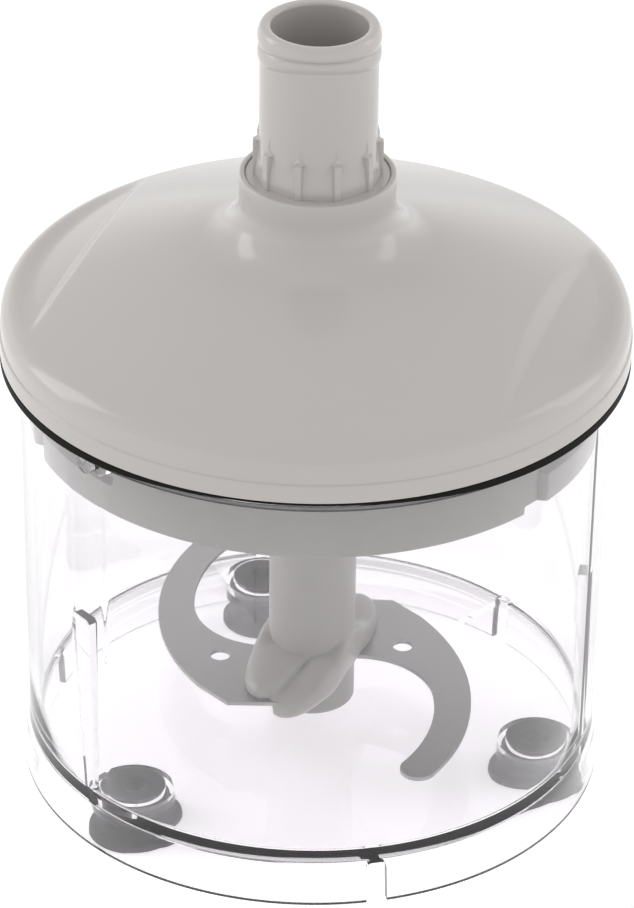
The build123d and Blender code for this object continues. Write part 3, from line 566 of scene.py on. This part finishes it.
def build_blade():
    """S-shaped steel blade with eased edges and its two holes."""
    half = line(BLADE_ROOT[0], BLADE_ROOT[1], 1) + line(BLADE_ROOT[1], BLADE_ROOT[2], 1)
    half += arc(BLADE_ROOT[2], BLADE_BACK, BLADE_TIP[0], 48)
    half += arc(*BLADE_TIP, 14)
    half += arc(BLADE_TIP[2], BLADE_EDGE, BLADE_THROAT[0], 24)
    half += arc(*BLADE_THROAT, 24)
    half += [BLADE_THROAT[2]]
    outline = half + [(-x, -y) for x, y in half]
    place = Matrix.Translation((0, 0, BLADE_LOW * MM))
    data = polygon_prism("blade_plate", outline, BLADE_HIGH - BLADE_LOW, place)
    place = Matrix.Translation((0, 0, CUTTER_LOW * MM))
    holes = []
    for turn in BLADE_HOLE_TURNS:
        ring = circle_outline(BLADE_HOLE, BLADE_ROUND_STEPS, on_circle(BLADE_HOLE_CIRCLE, turn))
        holes.append(polygon_prism("hole", ring, CUTTER_DEPTH, place))
    bore = circle_outline(BLADE_BORE, BLADE_ROUND_STEPS)
    holes.append(polygon_prism("bore", bore, CUTTER_DEPTH, place))
    data = combine(data, holes, "DIFFERENCE")
    piece = new_object("blade_plate", data, "blade", "blade_steel", 25.0)
    bevel = piece.modifiers.new("edges", "BEVEL")
    bevel.width = BLADE_BEVEL * MM
    bevel.segments = 2
    bevel.limit_method = "ANGLE"
    bevel.angle_limit = math.radians(BLADE_BEVEL_ANGLE)
    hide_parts("s_blade")


# ---------------------------------------------------------------- bowl
BOWL_STEPS = 1116
FRONT_ANGLE = 283.2
RIB_ANGLES = (FRONT_ANGLE - 62.6, FRONT_ANGLE + 63.5, FRONT_ANGLE + 180)
SLOT_ANGLES = tuple(FRONT_ANGLE + 120 * k for k in range(3))
FOOT_ANGLES = tuple(FRONT_ANGLE + 180 + 120 * k for k in range(3))
LUG_ANGLES = (224.0, 344.0, 104.0)
FOOT_CIRCLE = 50.6
FLOOR_TOP = 12.0
FLOOR_LOW = 9.5
WALL_RADIUS = 61.3
WALL_LEAN = 0.7
WALL_RISE = 87.7
WALL_LOW = 13.0
WALL_HIGH = 97.4
WALL_INSIDE = ((59.79, 98.2), (59.11, 13.4))
CORNER_BEND = 59.1
CORNER_END = 57.7
FLANGE_LOW = 98.4
FLANGE_ROOT = (62.0, 63.0)
FLANGE_RADIUS = 65.8
FLANGE_EASE = 0.3
BOWL_TOP = 99.7
MOUTH_RADIUS = 59.8
SEAL_GROOVE = (60.38, 61.62)
SEAL_GROOVE_FLOOR = 98.3
BASE_LOW = 0.15
BASE_EDGE = (62.55, 0.7)
BASE_EDGE_BEND = (62.6, BASE_LOW)
BASE_EDGE_END = 62.2
BASE_TOP = (61.4, 11.0)
BASE_INSIDE = ((59.78, 8.8), (60.65, 0.6))
BASE_INSIDE_BENDS = (59.7, 60.7)
BASE_INSIDE_ENDS = (58.9, 61.1)
BOSS_RADIUS = 5.6
BOSS_EASE = 0.6
BOSS_TOP = 20.0
BOSS_TOP_EASE = 0.4
BOSS_BORE = 3.0
BOSS_BORE_FLOOR = 10.5
FLUTE_DEPTH = 0.04
FLUTE_ROWS = (1.0, 9.0)
FLUTE_OUTSIDE = 61.0
PAD_HALF = 3.9
PAD_EDGE = 1.8
PAD_DEPTH = 0.07
PAD_ROWS = (13.0, 98.0)
PAD_WALL = 2.0
RIB_OUTLINE = ((0, -0.3), (0, 42.2), (-0.8, 43.0), (-4.9, 43.0), (-5.7, 42.2), (-2.4, -0.3))
RIB_INSIDE = 57.5
RIB_THICKNESS = 2.0
LUG_RADIUS = 2.4
LUG_INSIDE = 57.7
LUG_HEIGHT = 94.5
LUG_LENGTH = 2.6
NUB_RADIUS = 2.2
NUB_INSIDE = 61.4
NUB_HEIGHT = 96.4
NUB_LENGTH = 3.2
SOCKET_RADIUS = 8.45
SOCKET_LOW = 6.1
SOCKET_DEPTH = 3.6
RECESS_RADIUS = 6.66
RECESS_LOW = 5.0
RECESS_DEPTH = 6.25
SOCKET_STEPS = 72
CONE_STEPS = 48
CONE = ((0.0, 8.66), (1.3, 8.66), (2.93, 11.1), (2.93, 11.6), (0.0, 11.6))
SLOT_HALF = 2.2
SLOT_LOW = -2.0
SLOT_TOP = 9.5
SLOT_EASE = 1.4
SLOT_INSIDE = 58.0
SLOT_DEPTH = 6.0


def wall_at(z):
    """Outside radius of the bowl wall at a height."""
    return WALL_RADIUS + WALL_LEAN * (z - FLOOR_TOP) / WALL_RISE


def angle_apart(first, second):
    """Difference of two angles in degrees, from -180 to 180."""
    return (first - second + 180) % 360 - 180


def shape_bowl(r, z, angle):
    """Fine flutes inside the base ring, and soft strips of thicker wall beside the ribs."""
    if FLUTE_ROWS[0] < z < FLUTE_ROWS[1] and r < FLUTE_OUTSIDE:
        step = round(angle * BOWL_STEPS / (2 * math.pi))
        return r + (FLUTE_DEPTH if step % 2 else -FLUTE_DEPTH), z
    if PAD_ROWS[0] < z < PAD_ROWS[1] and r < wall_at(z) - PAD_WALL:
        for turn in RIB_ANGLES:
            apart = abs(angle_apart(math.degrees(angle), turn))
            if apart < PAD_HALF + PAD_EDGE:
                return r - PAD_DEPTH * (1 - smooth_step((apart - PAD_HALF) / PAD_EDGE)), z
    return r, z


def radial_matrix(turn, radius, z):
    """Places a flat outline across a radius: its X runs round the bowl, its Y up, and +Z outward."""
    angle = math.radians(turn)
    out = Vector((math.cos(angle), math.sin(angle), 0))
    along = Vector((-math.sin(angle), math.cos(angle), 0))
    matrix = Matrix((along, Vector((0, 0, 1)), out)).transposed().to_4x4()
    return Matrix.Translation(out * radius * MM + Vector((0, 0, z * MM))) @ matrix


def bowl_profile():
    """The turned shape of the bowl: base ring, wall, rim with the seal's groove, floor and boss."""
    wall_foot = (wall_at(WALL_LOW), WALL_LOW)
    wall_head = (wall_at(WALL_HIGH), WALL_HIGH)
    side = FLANGE_RADIUS - FLANGE_EASE
    profile = bezier((BASE_EDGE_END, BASE_LOW), BASE_EDGE_BEND, BASE_EDGE, 4)
    profile += line(BASE_EDGE, BASE_TOP, 3)
    profile += bezier(BASE_TOP, (WALL_RADIUS, FLOOR_TOP), wall_foot, 3)
    profile += line(wall_foot, wall_head, 8)
    root_bend, root_end = FLANGE_ROOT
    profile += bezier(wall_head, (root_bend, FLANGE_LOW), (root_end, FLANGE_LOW), 4)
    flange_edge = (FLANGE_RADIUS, FLANGE_LOW + FLANGE_EASE)
    profile += bezier((side, FLANGE_LOW), (FLANGE_RADIUS, FLANGE_LOW), flange_edge, 3)
    flange_edge = (FLANGE_RADIUS, BOWL_TOP - FLANGE_EASE)
    profile += bezier(flange_edge, (FLANGE_RADIUS, BOWL_TOP), (side, BOWL_TOP), 3)
    profile += [(SEAL_GROOVE[1], BOWL_TOP), (SEAL_GROOVE[1], SEAL_GROOVE_FLOOR)]
    profile += [(SEAL_GROOVE[0], SEAL_GROOVE_FLOOR), (SEAL_GROOVE[0], BOWL_TOP)]
    mouth_edge = (MOUTH_RADIUS, BOWL_TOP - FLANGE_EASE)
    profile += bezier((MOUTH_RADIUS + FLANGE_EASE, BOWL_TOP), (MOUTH_RADIUS, BOWL_TOP), mouth_edge, 3)
    profile += line(*WALL_INSIDE, 10)
    profile += bezier(WALL_INSIDE[1], (CORNER_BEND, FLOOR_TOP), (CORNER_END, FLOOR_TOP), 6)
    boss_foot = (BOSS_RADIUS + BOSS_EASE, FLOOR_TOP)
    profile += line((CORNER_END, FLOOR_TOP), boss_foot, 3)
    profile += bezier(boss_foot, (BOSS_RADIUS, FLOOR_TOP), (BOSS_RADIUS, FLOOR_TOP + BOSS_EASE), 3)
    boss_edge = (BOSS_RADIUS, BOSS_TOP - BOSS_TOP_EASE)
    profile += bezier(boss_edge, (BOSS_RADIUS, BOSS_TOP), (BOSS_RADIUS - BOSS_TOP_EASE, BOSS_TOP), 3)
    profile += [(BOSS_BORE, BOSS_TOP), (BOSS_BORE, BOSS_BORE_FLOOR), (0.0, BOSS_BORE_FLOOR)]
    profile += [(0.0, FLOOR_LOW), (BASE_INSIDE_ENDS[0], FLOOR_LOW)]
    top_bend, low_bend = BASE_INSIDE_BENDS
    profile += bezier((BASE_INSIDE_ENDS[0], FLOOR_LOW), (top_bend, FLOOR_LOW), BASE_INSIDE[0], 3)
    profile += line(*BASE_INSIDE, 4)
    profile += bezier(BASE_INSIDE[1], (low_bend, BASE_LOW), (BASE_INSIDE_ENDS[1], BASE_LOW), 3)
    return profile


def slot_outline():
    """A base ring slot, open below and rounded at its top corners."""
    shoulder, near = SLOT_TOP - SLOT_EASE, SLOT_HALF - SLOT_EASE
    outline = [(-SLOT_HALF, SLOT_LOW), (SLOT_HALF, SLOT_LOW)]
    outline += bezier((SLOT_HALF, shoulder), (SLOT_HALF, SLOT_TOP), (near, SLOT_TOP), 5)
    outline += [(near, SLOT_TOP)]
    outline += bezier((-near, SLOT_TOP), (-SLOT_HALF, SLOT_TOP), (-SLOT_HALF, shoulder), 5)
    return outline + [(-SLOT_HALF, shoulder)]


def build_bowl():
    """Clear bowl with its ribs, lugs, foot sockets and base ring slots."""
    data = turned_mesh("bowl_shell", bowl_profile(), BOWL_STEPS, shape_bowl)
    added, cut = [], []
    for turn in RIB_ANGLES:
        place = radial_matrix(turn, RIB_INSIDE, FLOOR_TOP)
        added.append(polygon_prism("rib", RIB_OUTLINE, RIB_THICKNESS, place))
    for turn in LUG_ANGLES:
        place = radial_matrix(turn, LUG_INSIDE, LUG_HEIGHT)
        added.append(polygon_prism("lug", circle_outline(LUG_RADIUS), LUG_LENGTH, place))
    place = radial_matrix(LUG_ANGLES[0], NUB_INSIDE, NUB_HEIGHT)
    added.append(polygon_prism("nub", circle_outline(NUB_RADIUS), NUB_LENGTH, place))
    for turn in FOOT_ANGLES:
        x, y = on_circle(FOOT_CIRCLE, turn)
        socket = circle_outline(SOCKET_RADIUS, SOCKET_STEPS)
        place = Matrix.Translation((x * MM, y * MM, SOCKET_LOW * MM))
        added.append(polygon_prism("socket", socket, SOCKET_DEPTH, place))
        recess = circle_outline(RECESS_RADIUS, SOCKET_STEPS)
        place = Matrix.Translation((x * MM, y * MM, RECESS_LOW * MM))
        cut.append(polygon_prism("recess", recess, RECESS_DEPTH, place))
    for turn in SLOT_ANGLES:
        place = radial_matrix(turn, SLOT_INSIDE, 0.0)
        cut.append(polygon_prism("slot", slot_outline(), SLOT_DEPTH, place))
    data = combine(data, added, "UNION")
    data = combine(data, cut, "DIFFERENCE")
    cones = []
    for turn in FOOT_ANGLES:
        cones.append(turned_mesh("cone", CONE, CONE_STEPS, None, on_circle(FOOT_CIRCLE, turn)))
    data = combine(data, cones, "UNION")
    piece = new_object("bowl_shell", data, "bowl_body", "clear_plastic", 32.0)
    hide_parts("bowl")


FOOT_STEPS = 96
PLUG_DIMPLE = ((0.0, 8.7), (1.3, 8.7), (2.9, 11.1))
PLUG_TOP = 11.28
PLUG_TOP_INSIDE = 2.96
PLUG_TOP_OUTSIDE = 6.3
PLUG_EDGE_BEND = (6.5, 11.2)
PLUG_EDGE = (6.69, 11.0)
PLUG_FOOT = (6.69, 6.3)
SHELF = 6.05
SHELF_RADII = (6.8, 7.1)
SHELF_EASE = 0.45
WAIST_RADIUS = 7.5
WAIST_LOW = 4.0
WAIST_BEND = 2.6
BRIM_START = (8.7, 2.2)
BRIM_BEND = 1.9
BRIM_EDGE = 1.2
FOOT_RADIUS = 9.4
FOOT_EASE = 0.5
SOLE_RADIUS = 6.4
SOLE_BEND = 5.9
SOLE_DIMPLE = (5.2, 0.8)


def build_feet():
    """Rubber feet: dimpled plug, waist and a wide rounded brim."""
    profile = [*PLUG_DIMPLE, (PLUG_TOP_INSIDE, PLUG_TOP)]
    profile += bezier((PLUG_TOP_OUTSIDE, PLUG_TOP), PLUG_EDGE_BEND, PLUG_EDGE, 3)
    profile += [PLUG_FOOT, (SHELF_RADII[0], SHELF)]
    shelf_edge = (WAIST_RADIUS, SHELF - SHELF_EASE)
    profile += bezier((SHELF_RADII[1], SHELF), (WAIST_RADIUS, SHELF), shelf_edge, 3)
    profile += bezier((WAIST_RADIUS, WAIST_LOW), (WAIST_RADIUS, WAIST_BEND), BRIM_START, 5)
    profile += bezier(BRIM_START, (FOOT_RADIUS, BRIM_BEND), (FOOT_RADIUS, BRIM_EDGE), 4)
    sole_edge = (FOOT_RADIUS - FOOT_EASE, 0.0)
    profile += bezier((FOOT_RADIUS, FOOT_EASE), (FOOT_RADIUS, 0.0), sole_edge, 4)
    profile += [(SOLE_RADIUS, 0.0)]
    profile += bezier((SOLE_RADIUS, 0.0), (SOLE_BEND, SOLE_DIMPLE[1]), SOLE_DIMPLE, 4)
    profile += [(0.0, SOLE_DIMPLE[1])]
    for name, turn in zip(("rear", "left", "right"), FOOT_ANGLES):
        data = turned_mesh(f"foot_{name}", profile, FOOT_STEPS, None, on_circle(FOOT_CIRCLE, turn))
        piece = new_object(f"foot_{name}", data, "bowl_body", "foot_rubber", 35.0)
        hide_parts(f"rubber_foot_{name}")


# ---------------------------------------------------------------- seal, inner plate, coupling tube
SEAL_STEPS = 360
SEAL_INSIDE = 60.45
SEAL_OUTSIDE = 61.55
SEAL_LOW = 98.36
SEAL_TOP = 100.6
LIP_LOW = 99.72
LIP_TOP = 100.26
# Painted shade: the lip steps out over the bowl's rim and hangs down as a thin black film, a dark sheet
# where there is shade between rim and lid.
LIP_STEP = (65.2, 100.08)
SHADE_LIP_FILM = (65.84, 65.96)
SHADE_LIP_FILM_LOW = 99.8
LIP_CHAMFER = 0.06
BEAD_SHOULDER = 100.45
BEAD_BEND_END = 61.3
BEAD_INNER = ((60.7, SEAL_TOP), (SEAL_INSIDE, 100.4))
SHADE_FILM_ROWS_BELOW = 99.9
SHADE_FILM_ROWS_OUTSIDE = 65.81
SHADE_FILM_HEIGHT = 99.95
SHADE_FILM_DROP = 1.45
SHADE_FILM_FRONT_ANGLE = 265.0
SHADE_FILM_FRONT_HALF = 44.0
SHADE_FILM_FRONT_SHARE = 1.15


def shape_seal_shade_film(r, z, angle):
    """Painted shade: the lip's outer edge hangs over the rim as a dark sheet, further at the sides than
    in front, where the shade line between rim and lid is thicker.
    """
    if z < SHADE_FILM_ROWS_BELOW and r > SHADE_FILM_ROWS_OUTSIDE:
        apart = abs(angle_apart(math.degrees(angle) % 360, SHADE_FILM_FRONT_ANGLE))
        front = smooth_step(SHADE_FILM_FRONT_SHARE - apart / SHADE_FILM_FRONT_HALF)
        return r, SHADE_FILM_HEIGHT - SHADE_FILM_DROP * (1 - front)
    return r, z


def build_seal():
    """Black ring in the rim with a thin lip between rim and lid; the lip's overhang is a dark sheet
    that paints the shade between rim and lid.
    """
    shade_film_inside, shade_film_outside = SHADE_LIP_FILM
    profile = [(SEAL_OUTSIDE, SEAL_LOW), (SEAL_OUTSIDE, LIP_LOW), (LIP_STEP[0], LIP_LOW), LIP_STEP]
    profile += [(shade_film_inside, LIP_STEP[1]), (shade_film_inside, SHADE_LIP_FILM_LOW), (shade_film_outside, SHADE_LIP_FILM_LOW)]
    profile += [(shade_film_outside, LIP_TOP - LIP_CHAMFER), (shade_film_outside - LIP_CHAMFER, LIP_TOP)]
    profile += [(SEAL_OUTSIDE, LIP_TOP), (SEAL_OUTSIDE, BEAD_SHOULDER)]
    bead_end = (BEAD_BEND_END, SEAL_TOP)
    profile += bezier((SEAL_OUTSIDE, BEAD_SHOULDER), (SEAL_OUTSIDE, SEAL_TOP), bead_end, 3)
    profile += [*BEAD_INNER, (SEAL_INSIDE, SEAL_LOW)]
    data = turned_mesh("seal_ring", profile, SEAL_STEPS, shape_seal_shade_film)
    piece = new_object("seal_ring", data, "seal_ring", "seal_rubber", 40.0)
    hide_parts("lid_seal")


PLATE_STEPS = 720
PLATE_TOP = 103.2
PLATE_LOW = 101.2
PLATE_RADIUS = 63.7
PLATE_BORE = 9.11
GUIDE_OUTSIDE = 11.11
GUIDE_BOTTOM = 93.0
GUIDE_STEP = (8.0, 94.0)
SKIRT_RADIUS = 58.95
SKIRT_INSIDE = 56.35
SKIRT_BOTTOM = 84.0
SKIRT_TOP = 100.9
SKIRT_EASE = 0.3
SKIRT_ROOT = 0.6
SKIRT_ROWS_TOP = 100.5
ROW_PLAY = 0.1
SKIRT_HEAD_PROUD = 0.02
SKIRT_ROWS_OUTSIDE = 60.0
TRACK_DEPTH = 1.75
TRACK_HALF = 2.8
TRACK_SLOPE = 1.2
TRACK_END_SLOPE = 0.8
LID_TURN = 25.0
LUG_HALF = 3.3
STEP_HEIGHT = 0.6
STEP_HALF = 15.2
STEP_SLOPE = 0.6


def shape_plate(r, z, angle):
    """Soft bayonet tracks in the skirt, and the step in its lower edge."""
    degrees_round = math.degrees(angle)
    on_skirt = SKIRT_RADIUS - 2 * ROW_PLAY < r < SKIRT_ROWS_OUTSIDE
    if on_skirt and SKIRT_BOTTOM - ROW_PLAY < z < SKIRT_ROWS_TOP:
        for turn in LUG_ANGLES:
            from_lug = angle_apart(degrees_round, turn)
            level = 1 - smooth_step((abs(z - LUG_HEIGHT) - TRACK_HALF) / TRACK_SLOPE)
            run = smooth_step((from_lug + LID_TURN + LUG_HALF) / TRACK_END_SLOPE)
            run *= smooth_step((LUG_HALF - from_lug) / TRACK_END_SLOPE)
            way = smooth_step((LUG_HALF - abs(from_lug + LID_TURN)) / TRACK_END_SLOPE)
            r -= TRACK_DEPTH * max(level * run, way * (z < LUG_HEIGHT))
    if z < SKIRT_BOTTOM + ROW_PLAY:
        for turn in LUG_ANGLES:
            apart = abs(angle_apart(degrees_round, turn - LID_TURN))
            z += STEP_HEIGHT * (1 - smooth_step((apart - STEP_HALF) / STEP_SLOPE))
    return r, z


def build_plate():
    """Inner plate of the lid with its long skirt."""
    outer_edge = (SKIRT_RADIUS, SKIRT_BOTTOM + SKIRT_EASE)
    inner_edge = (SKIRT_INSIDE, SKIRT_BOTTOM + SKIRT_EASE)
    outer_low = (SKIRT_RADIUS - SKIRT_EASE, SKIRT_BOTTOM)
    inner_low = (SKIRT_INSIDE + SKIRT_EASE, SKIRT_BOTTOM)
    profile = [(PLATE_BORE, PLATE_TOP), (PLATE_RADIUS, PLATE_TOP), (PLATE_RADIUS, PLATE_LOW)]
    profile += [(SKIRT_RADIUS + SKIRT_HEAD_PROUD, PLATE_LOW)]
    profile += line((SKIRT_RADIUS, SKIRT_TOP), outer_edge, 34)
    profile += bezier(outer_edge, (SKIRT_RADIUS, SKIRT_BOTTOM), outer_low, 3)
    profile += bezier(inner_low, (SKIRT_INSIDE, SKIRT_BOTTOM), inner_edge, 3)
    profile += [(SKIRT_INSIDE, PLATE_LOW - SKIRT_ROOT), (SKIRT_INSIDE - SKIRT_ROOT, PLATE_LOW)]
    profile += [(GUIDE_OUTSIDE, PLATE_LOW), (GUIDE_OUTSIDE, GUIDE_BOTTOM)]
    profile += [(GUIDE_STEP[0], GUIDE_BOTTOM), GUIDE_STEP, (PLATE_BORE, GUIDE_STEP[1])]
    data = turned_mesh("plate_shell", profile, PLATE_STEPS, shape_plate)
    piece = new_object("plate_shell", data, "lid", "grey_inner", 40.0)
    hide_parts("lid_inner_plate")


TUBE_STEPS = 720
TUBE_RADIUS = 12.2
TUBE_SKIN = 0.3  # rows this near the barrel's radius take the beads and ribs
TUBE_TOP = 173.6
MOUTH_EDGE = 173.0
MOUTH_EDGE_BEND = 12.0
MOUTH_CREST = 11.05
MOUTH_INSIDE = 172.8
MOUTH_INSIDE_BEND = (9.95, 173.58)
TUBE_BORE = 9.9
TUBE_LOW = 113.7
BARREL_FINE_TO = 165.0
BEAD_SWELL = 0.45
BEAD_HEIGHT = 3.6
BEAD_ROWS = (158.0, 173.1)
BEAD_FULLNESS = (0.8, 0.7)
BEAD_LIFT = 2.3
BEAD_LIFT_RISE = 7.8
BEAD_LIFT_TOP = 165.8
BEAD_LIFT_FALL = 7.2
FOOT_LOW = 138.9
FOOT_ROWS_TOP = 150.0
FOOT_HEAD_ROWS = (149.4, 146.6)
FOOT_RIBS = 10
FOOT_RIB_TOP = 148.3
FOOT_RIB_HALF = 0.7
FOOT_RIB_EDGE = 0.18
FOOT_RIB_RADIUS = 13.4
FOOT_RIB_HEAD = 147.4
FOOT_RIB_POINT = 148.6
FOOT_RIB_HEAD_HALF = 1.25
FOOT_RIB_HEAD_RISE = 1.2
FOOT_RIB_LOSS = 0.9
FOOT_RIB_LOSS_START = 147.3
FOOT_RIB_LOSS_RISE = 0.4
FACET_RADIUS = 13.3
FACET_TOP_PROUD = 0.1
GROOVE_FLOOR = 139.8
GROOVE_EASE = 0.2
GROOVE_RADII = (13.9, 14.7)
SOCKET_WALL = 14.95
PLATE_SEAT = 116.1
PLATE_SEAT_RADIUS = 24.4
HOUSING_ROOM = (12.75, 136.4)
BUSH_COLUMN = 6.11
WELL_RADIUS = 9.0
WELL_TOP = 152.0
SHAFT_ROOM = 3.91


def shape_tube(r, z, angle):
    """Two soft beads under the mouth, and the ten-sided foot with a rib on each corner."""
    if abs(r - TUBE_RADIUS) > TUBE_SKIN:
        return r, z
    if BEAD_ROWS[0] < z < BEAD_ROWS[1]:
        front = math.sin(angle) ** 2
        rise = smooth_step((z - BEAD_ROWS[0]) / BEAD_LIFT_RISE)
        fall = 1 - smooth_step((z - BEAD_LIFT_TOP) / BEAD_LIFT_FALL)
        lift = BEAD_LIFT * front * rise * fall
        below_mouth = MOUTH_EDGE - z
        if below_mouth < BEAD_HEIGHT:
            wave = math.sin(math.pi * below_mouth / BEAD_HEIGHT)
            swell = BEAD_SWELL * wave ** BEAD_FULLNESS[0]
        elif below_mouth < 2 * BEAD_HEIGHT:
            wave = math.sin(math.pi * (below_mouth - BEAD_HEIGHT) / BEAD_HEIGHT)
            swell = BEAD_SWELL * wave ** BEAD_FULLNESS[1]
        else:
            swell = 0.0
        return r + swell, z + lift
    if z < FOOT_ROWS_TOP:
        step = 2 * math.pi / FOOT_RIBS
        from_corner = (angle - math.pi / 2) % step - step / 2
        facet_angle = abs(abs(from_corner) - step / 2)
        share = min(1.0, max(0.0, (z - FOOT_LOW) / (FOOT_RIB_TOP - FOOT_LOW)))
        corner = FACET_RADIUS + (TUBE_RADIUS + FACET_TOP_PROUD - FACET_RADIUS) * share
        facet = corner * math.cos(step / 2) / math.cos(facet_angle)
        width = abs(from_corner) * r
        rib_half = FOOT_RIB_HALF
        if z > FOOT_RIB_HEAD:
            rib_half = max(0.0, FOOT_RIB_HEAD_HALF * (FOOT_RIB_POINT - z) / FOOT_RIB_HEAD_RISE)
        rib = 1 - smooth_step((width - rib_half) / FOOT_RIB_EDGE)
        loss = smooth_step((z - FOOT_RIB_LOSS_START) / FOOT_RIB_LOSS_RISE)
        rib_radius = FOOT_RIB_RADIUS - FOOT_RIB_LOSS * loss
        return max(r, facet, TUBE_RADIUS + (rib_radius - TUBE_RADIUS) * rib), z
    return r, z


def build_tube():
    """Coupling tube: rounded mouth, two beads, plain barrel and ribbed foot."""
    profile = [(SHAFT_ROOM, TUBE_LOW), (SHAFT_ROOM, FOOT_LOW), (WELL_RADIUS, FOOT_LOW)]
    profile += [(WELL_RADIUS, WELL_TOP), (TUBE_BORE, WELL_TOP), (TUBE_BORE, MOUTH_INSIDE)]
    profile += bezier((TUBE_BORE, MOUTH_INSIDE), MOUTH_INSIDE_BEND, (MOUTH_CREST, TUBE_TOP), 6)
    mouth_edge = (TUBE_RADIUS, MOUTH_EDGE)
    profile += bezier((MOUTH_CREST, TUBE_TOP), (MOUTH_EDGE_BEND, TUBE_TOP), mouth_edge, 6)
    profile += line(mouth_edge, (TUBE_RADIUS, BARREL_FINE_TO), 40)
    profile += line((TUBE_RADIUS, BARREL_FINE_TO), (TUBE_RADIUS, FOOT_ROWS_TOP), 14)
    head_from, head_to = FOOT_HEAD_ROWS
    profile += line((TUBE_RADIUS, head_from), (TUBE_RADIUS, head_to), 18)
    profile += line((TUBE_RADIUS, head_to), (TUBE_RADIUS, GROOVE_FLOOR + GROOVE_EASE), 10)
    profile += [(TUBE_RADIUS, GROOVE_FLOOR + GROOVE_EASE / 10)]
    profile += [(radius, GROOVE_FLOOR) for radius in GROOVE_RADII]
    profile += [(SOCKET_WALL, GROOVE_FLOOR - GROOVE_EASE), (SOCKET_WALL, PLATE_SEAT)]
    profile += [(PLATE_SEAT_RADIUS, PLATE_SEAT), (PLATE_SEAT_RADIUS, TUBE_LOW)]
    profile += [(HOUSING_ROOM[0], TUBE_LOW), HOUSING_ROOM]
    profile += [(BUSH_COLUMN, HOUSING_ROOM[1]), (BUSH_COLUMN, TUBE_LOW)]
    data = turned_mesh("tube_shell", profile, TUBE_STEPS, shape_tube)
    piece = new_object("tube_shell", data, "lid", "grey_gloss", 38.0)
    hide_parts("coupling_tube")


# ---------------------------------------------------------------- stage
# The floor glows with painted light, brightest under the bowl where the lid's shade falls. Lengths here
# are in metres.
FLOOR_REACH = 6.0
PAPER_SCALE = 3.0
PAPER_DARK = (0.93, 0.93, 0.93)
PAPER_LIGHT = (0.95, 0.95, 0.95)
PAINTED_GLOW_UNDER = 0.5
PAINTED_GLOW_AROUND = 0.13
PAINTED_GLOW_RADIUS = 0.058
PAINTED_GLOW_FADE = 0.03
HORIZON_LIGHT = 1.45
SKY_LIGHT = 0.95
HORIZON_FADE = 0.35
LAMP_SIDE = 1.2
LAMP_BACK = 0.3
LAMP_HEIGHT = 0.7
LAMP_TARGET = (0, 0, 0.1)
LAMP_SIZE = (0.5, 1.0)
LAMP_POWER = {"left": 3.5, "right": 2.0}


def add_area(name, place, target, size, power):
    """A soft rectangular lamp that faces a point."""
    data = bpy.data.lights.new(name, "AREA")
    data.shape = "RECTANGLE"
    data.size, data.size_y = size
    data.energy = power
    lamp = bpy.data.objects.new(name, data)
    bpy.context.scene.collection.objects.link(lamp)
    lamp.location = place
    lamp.rotation_euler = (Vector(target) - Vector(place)).to_track_quat("-Z", "Y").to_euler()


def add_stage():
    """Pale floor that glows with painted light, soft studio light and a bright even surround."""
    mesh = bpy.data.meshes.new("floor")
    corners = [(x * FLOOR_REACH, y * FLOOR_REACH, 0) for x, y in ((-1, -1), (1, -1), (1, 1), (-1, 1))]
    mesh.from_pydata(corners, [], [(0, 1, 2, 3)])
    floor = bpy.data.objects.new("floor", mesh)
    bpy.context.scene.collection.objects.link(floor)
    material, tree, shader, _ = new_material("floor_paper_and_painted_glow")
    paper = tint(tree, noise(tree, PAPER_SCALE), PAPER_DARK, PAPER_LIGHT)
    tree.links.new(paper, shader.inputs["Base Color"])
    shader.inputs["Roughness"].default_value = 0.9
    # Painted light: the floor glows, far more under the bowl, to lift the shade the lid casts inside
    # it.
    shader.inputs["Emission Color"].default_value = (1, 1, 1, 1)
    place = tree.nodes.new("ShaderNodeTexCoord")
    length = tree.nodes.new("ShaderNodeVectorMath")
    length.operation = "LENGTH"
    tree.links.new(place.outputs["Object"], length.inputs[0])
    painted_glow = tree.nodes.new("ShaderNodeMapRange")
    painted_glow.inputs["From Min"].default_value = PAINTED_GLOW_RADIUS
    painted_glow.inputs["From Max"].default_value = PAINTED_GLOW_RADIUS + PAINTED_GLOW_FADE
    painted_glow.inputs["To Min"].default_value = PAINTED_GLOW_UNDER
    painted_glow.inputs["To Max"].default_value = PAINTED_GLOW_AROUND
    tree.links.new(length.outputs["Value"], painted_glow.inputs["Value"])
    tree.links.new(painted_glow.outputs["Result"], shader.inputs["Emission Strength"])
    floor.data.materials.append(material)

    world = bpy.data.worlds.new("studio")
    world.use_nodes = True
    tree = world.node_tree
    background = tree.nodes["Background"]
    background.inputs[0].default_value = (1.0, 1.0, 1.0, 1)
    place = tree.nodes.new("ShaderNodeTexCoord")
    split = tree.nodes.new("ShaderNodeSeparateXYZ")
    fade = tree.nodes.new("ShaderNodeMapRange")
    fade.inputs["From Min"].default_value = 0.0
    fade.inputs["From Max"].default_value = HORIZON_FADE
    fade.inputs["To Min"].default_value = HORIZON_LIGHT
    fade.inputs["To Max"].default_value = SKY_LIGHT
    tree.links.new(place.outputs["Generated"], split.inputs[0])
    tree.links.new(split.outputs["Z"], fade.inputs["Value"])
    tree.links.new(fade.outputs["Result"], background.inputs[1])
    bpy.context.scene.world = world
    for name, side in (("left", -LAMP_SIDE), ("right", LAMP_SIDE)):
        add_area(name, (side, LAMP_BACK, LAMP_HEIGHT), LAMP_TARGET, LAMP_SIZE, LAMP_POWER[name])


bpy.context.scene.view_settings.view_transform = "Standard"
paint_cad_nodes()
build_lid()
build_tube()
build_plate()
build_hub()
build_blade()
build_seal()
build_bowl()
build_feet()
add_stage()
add_camera()
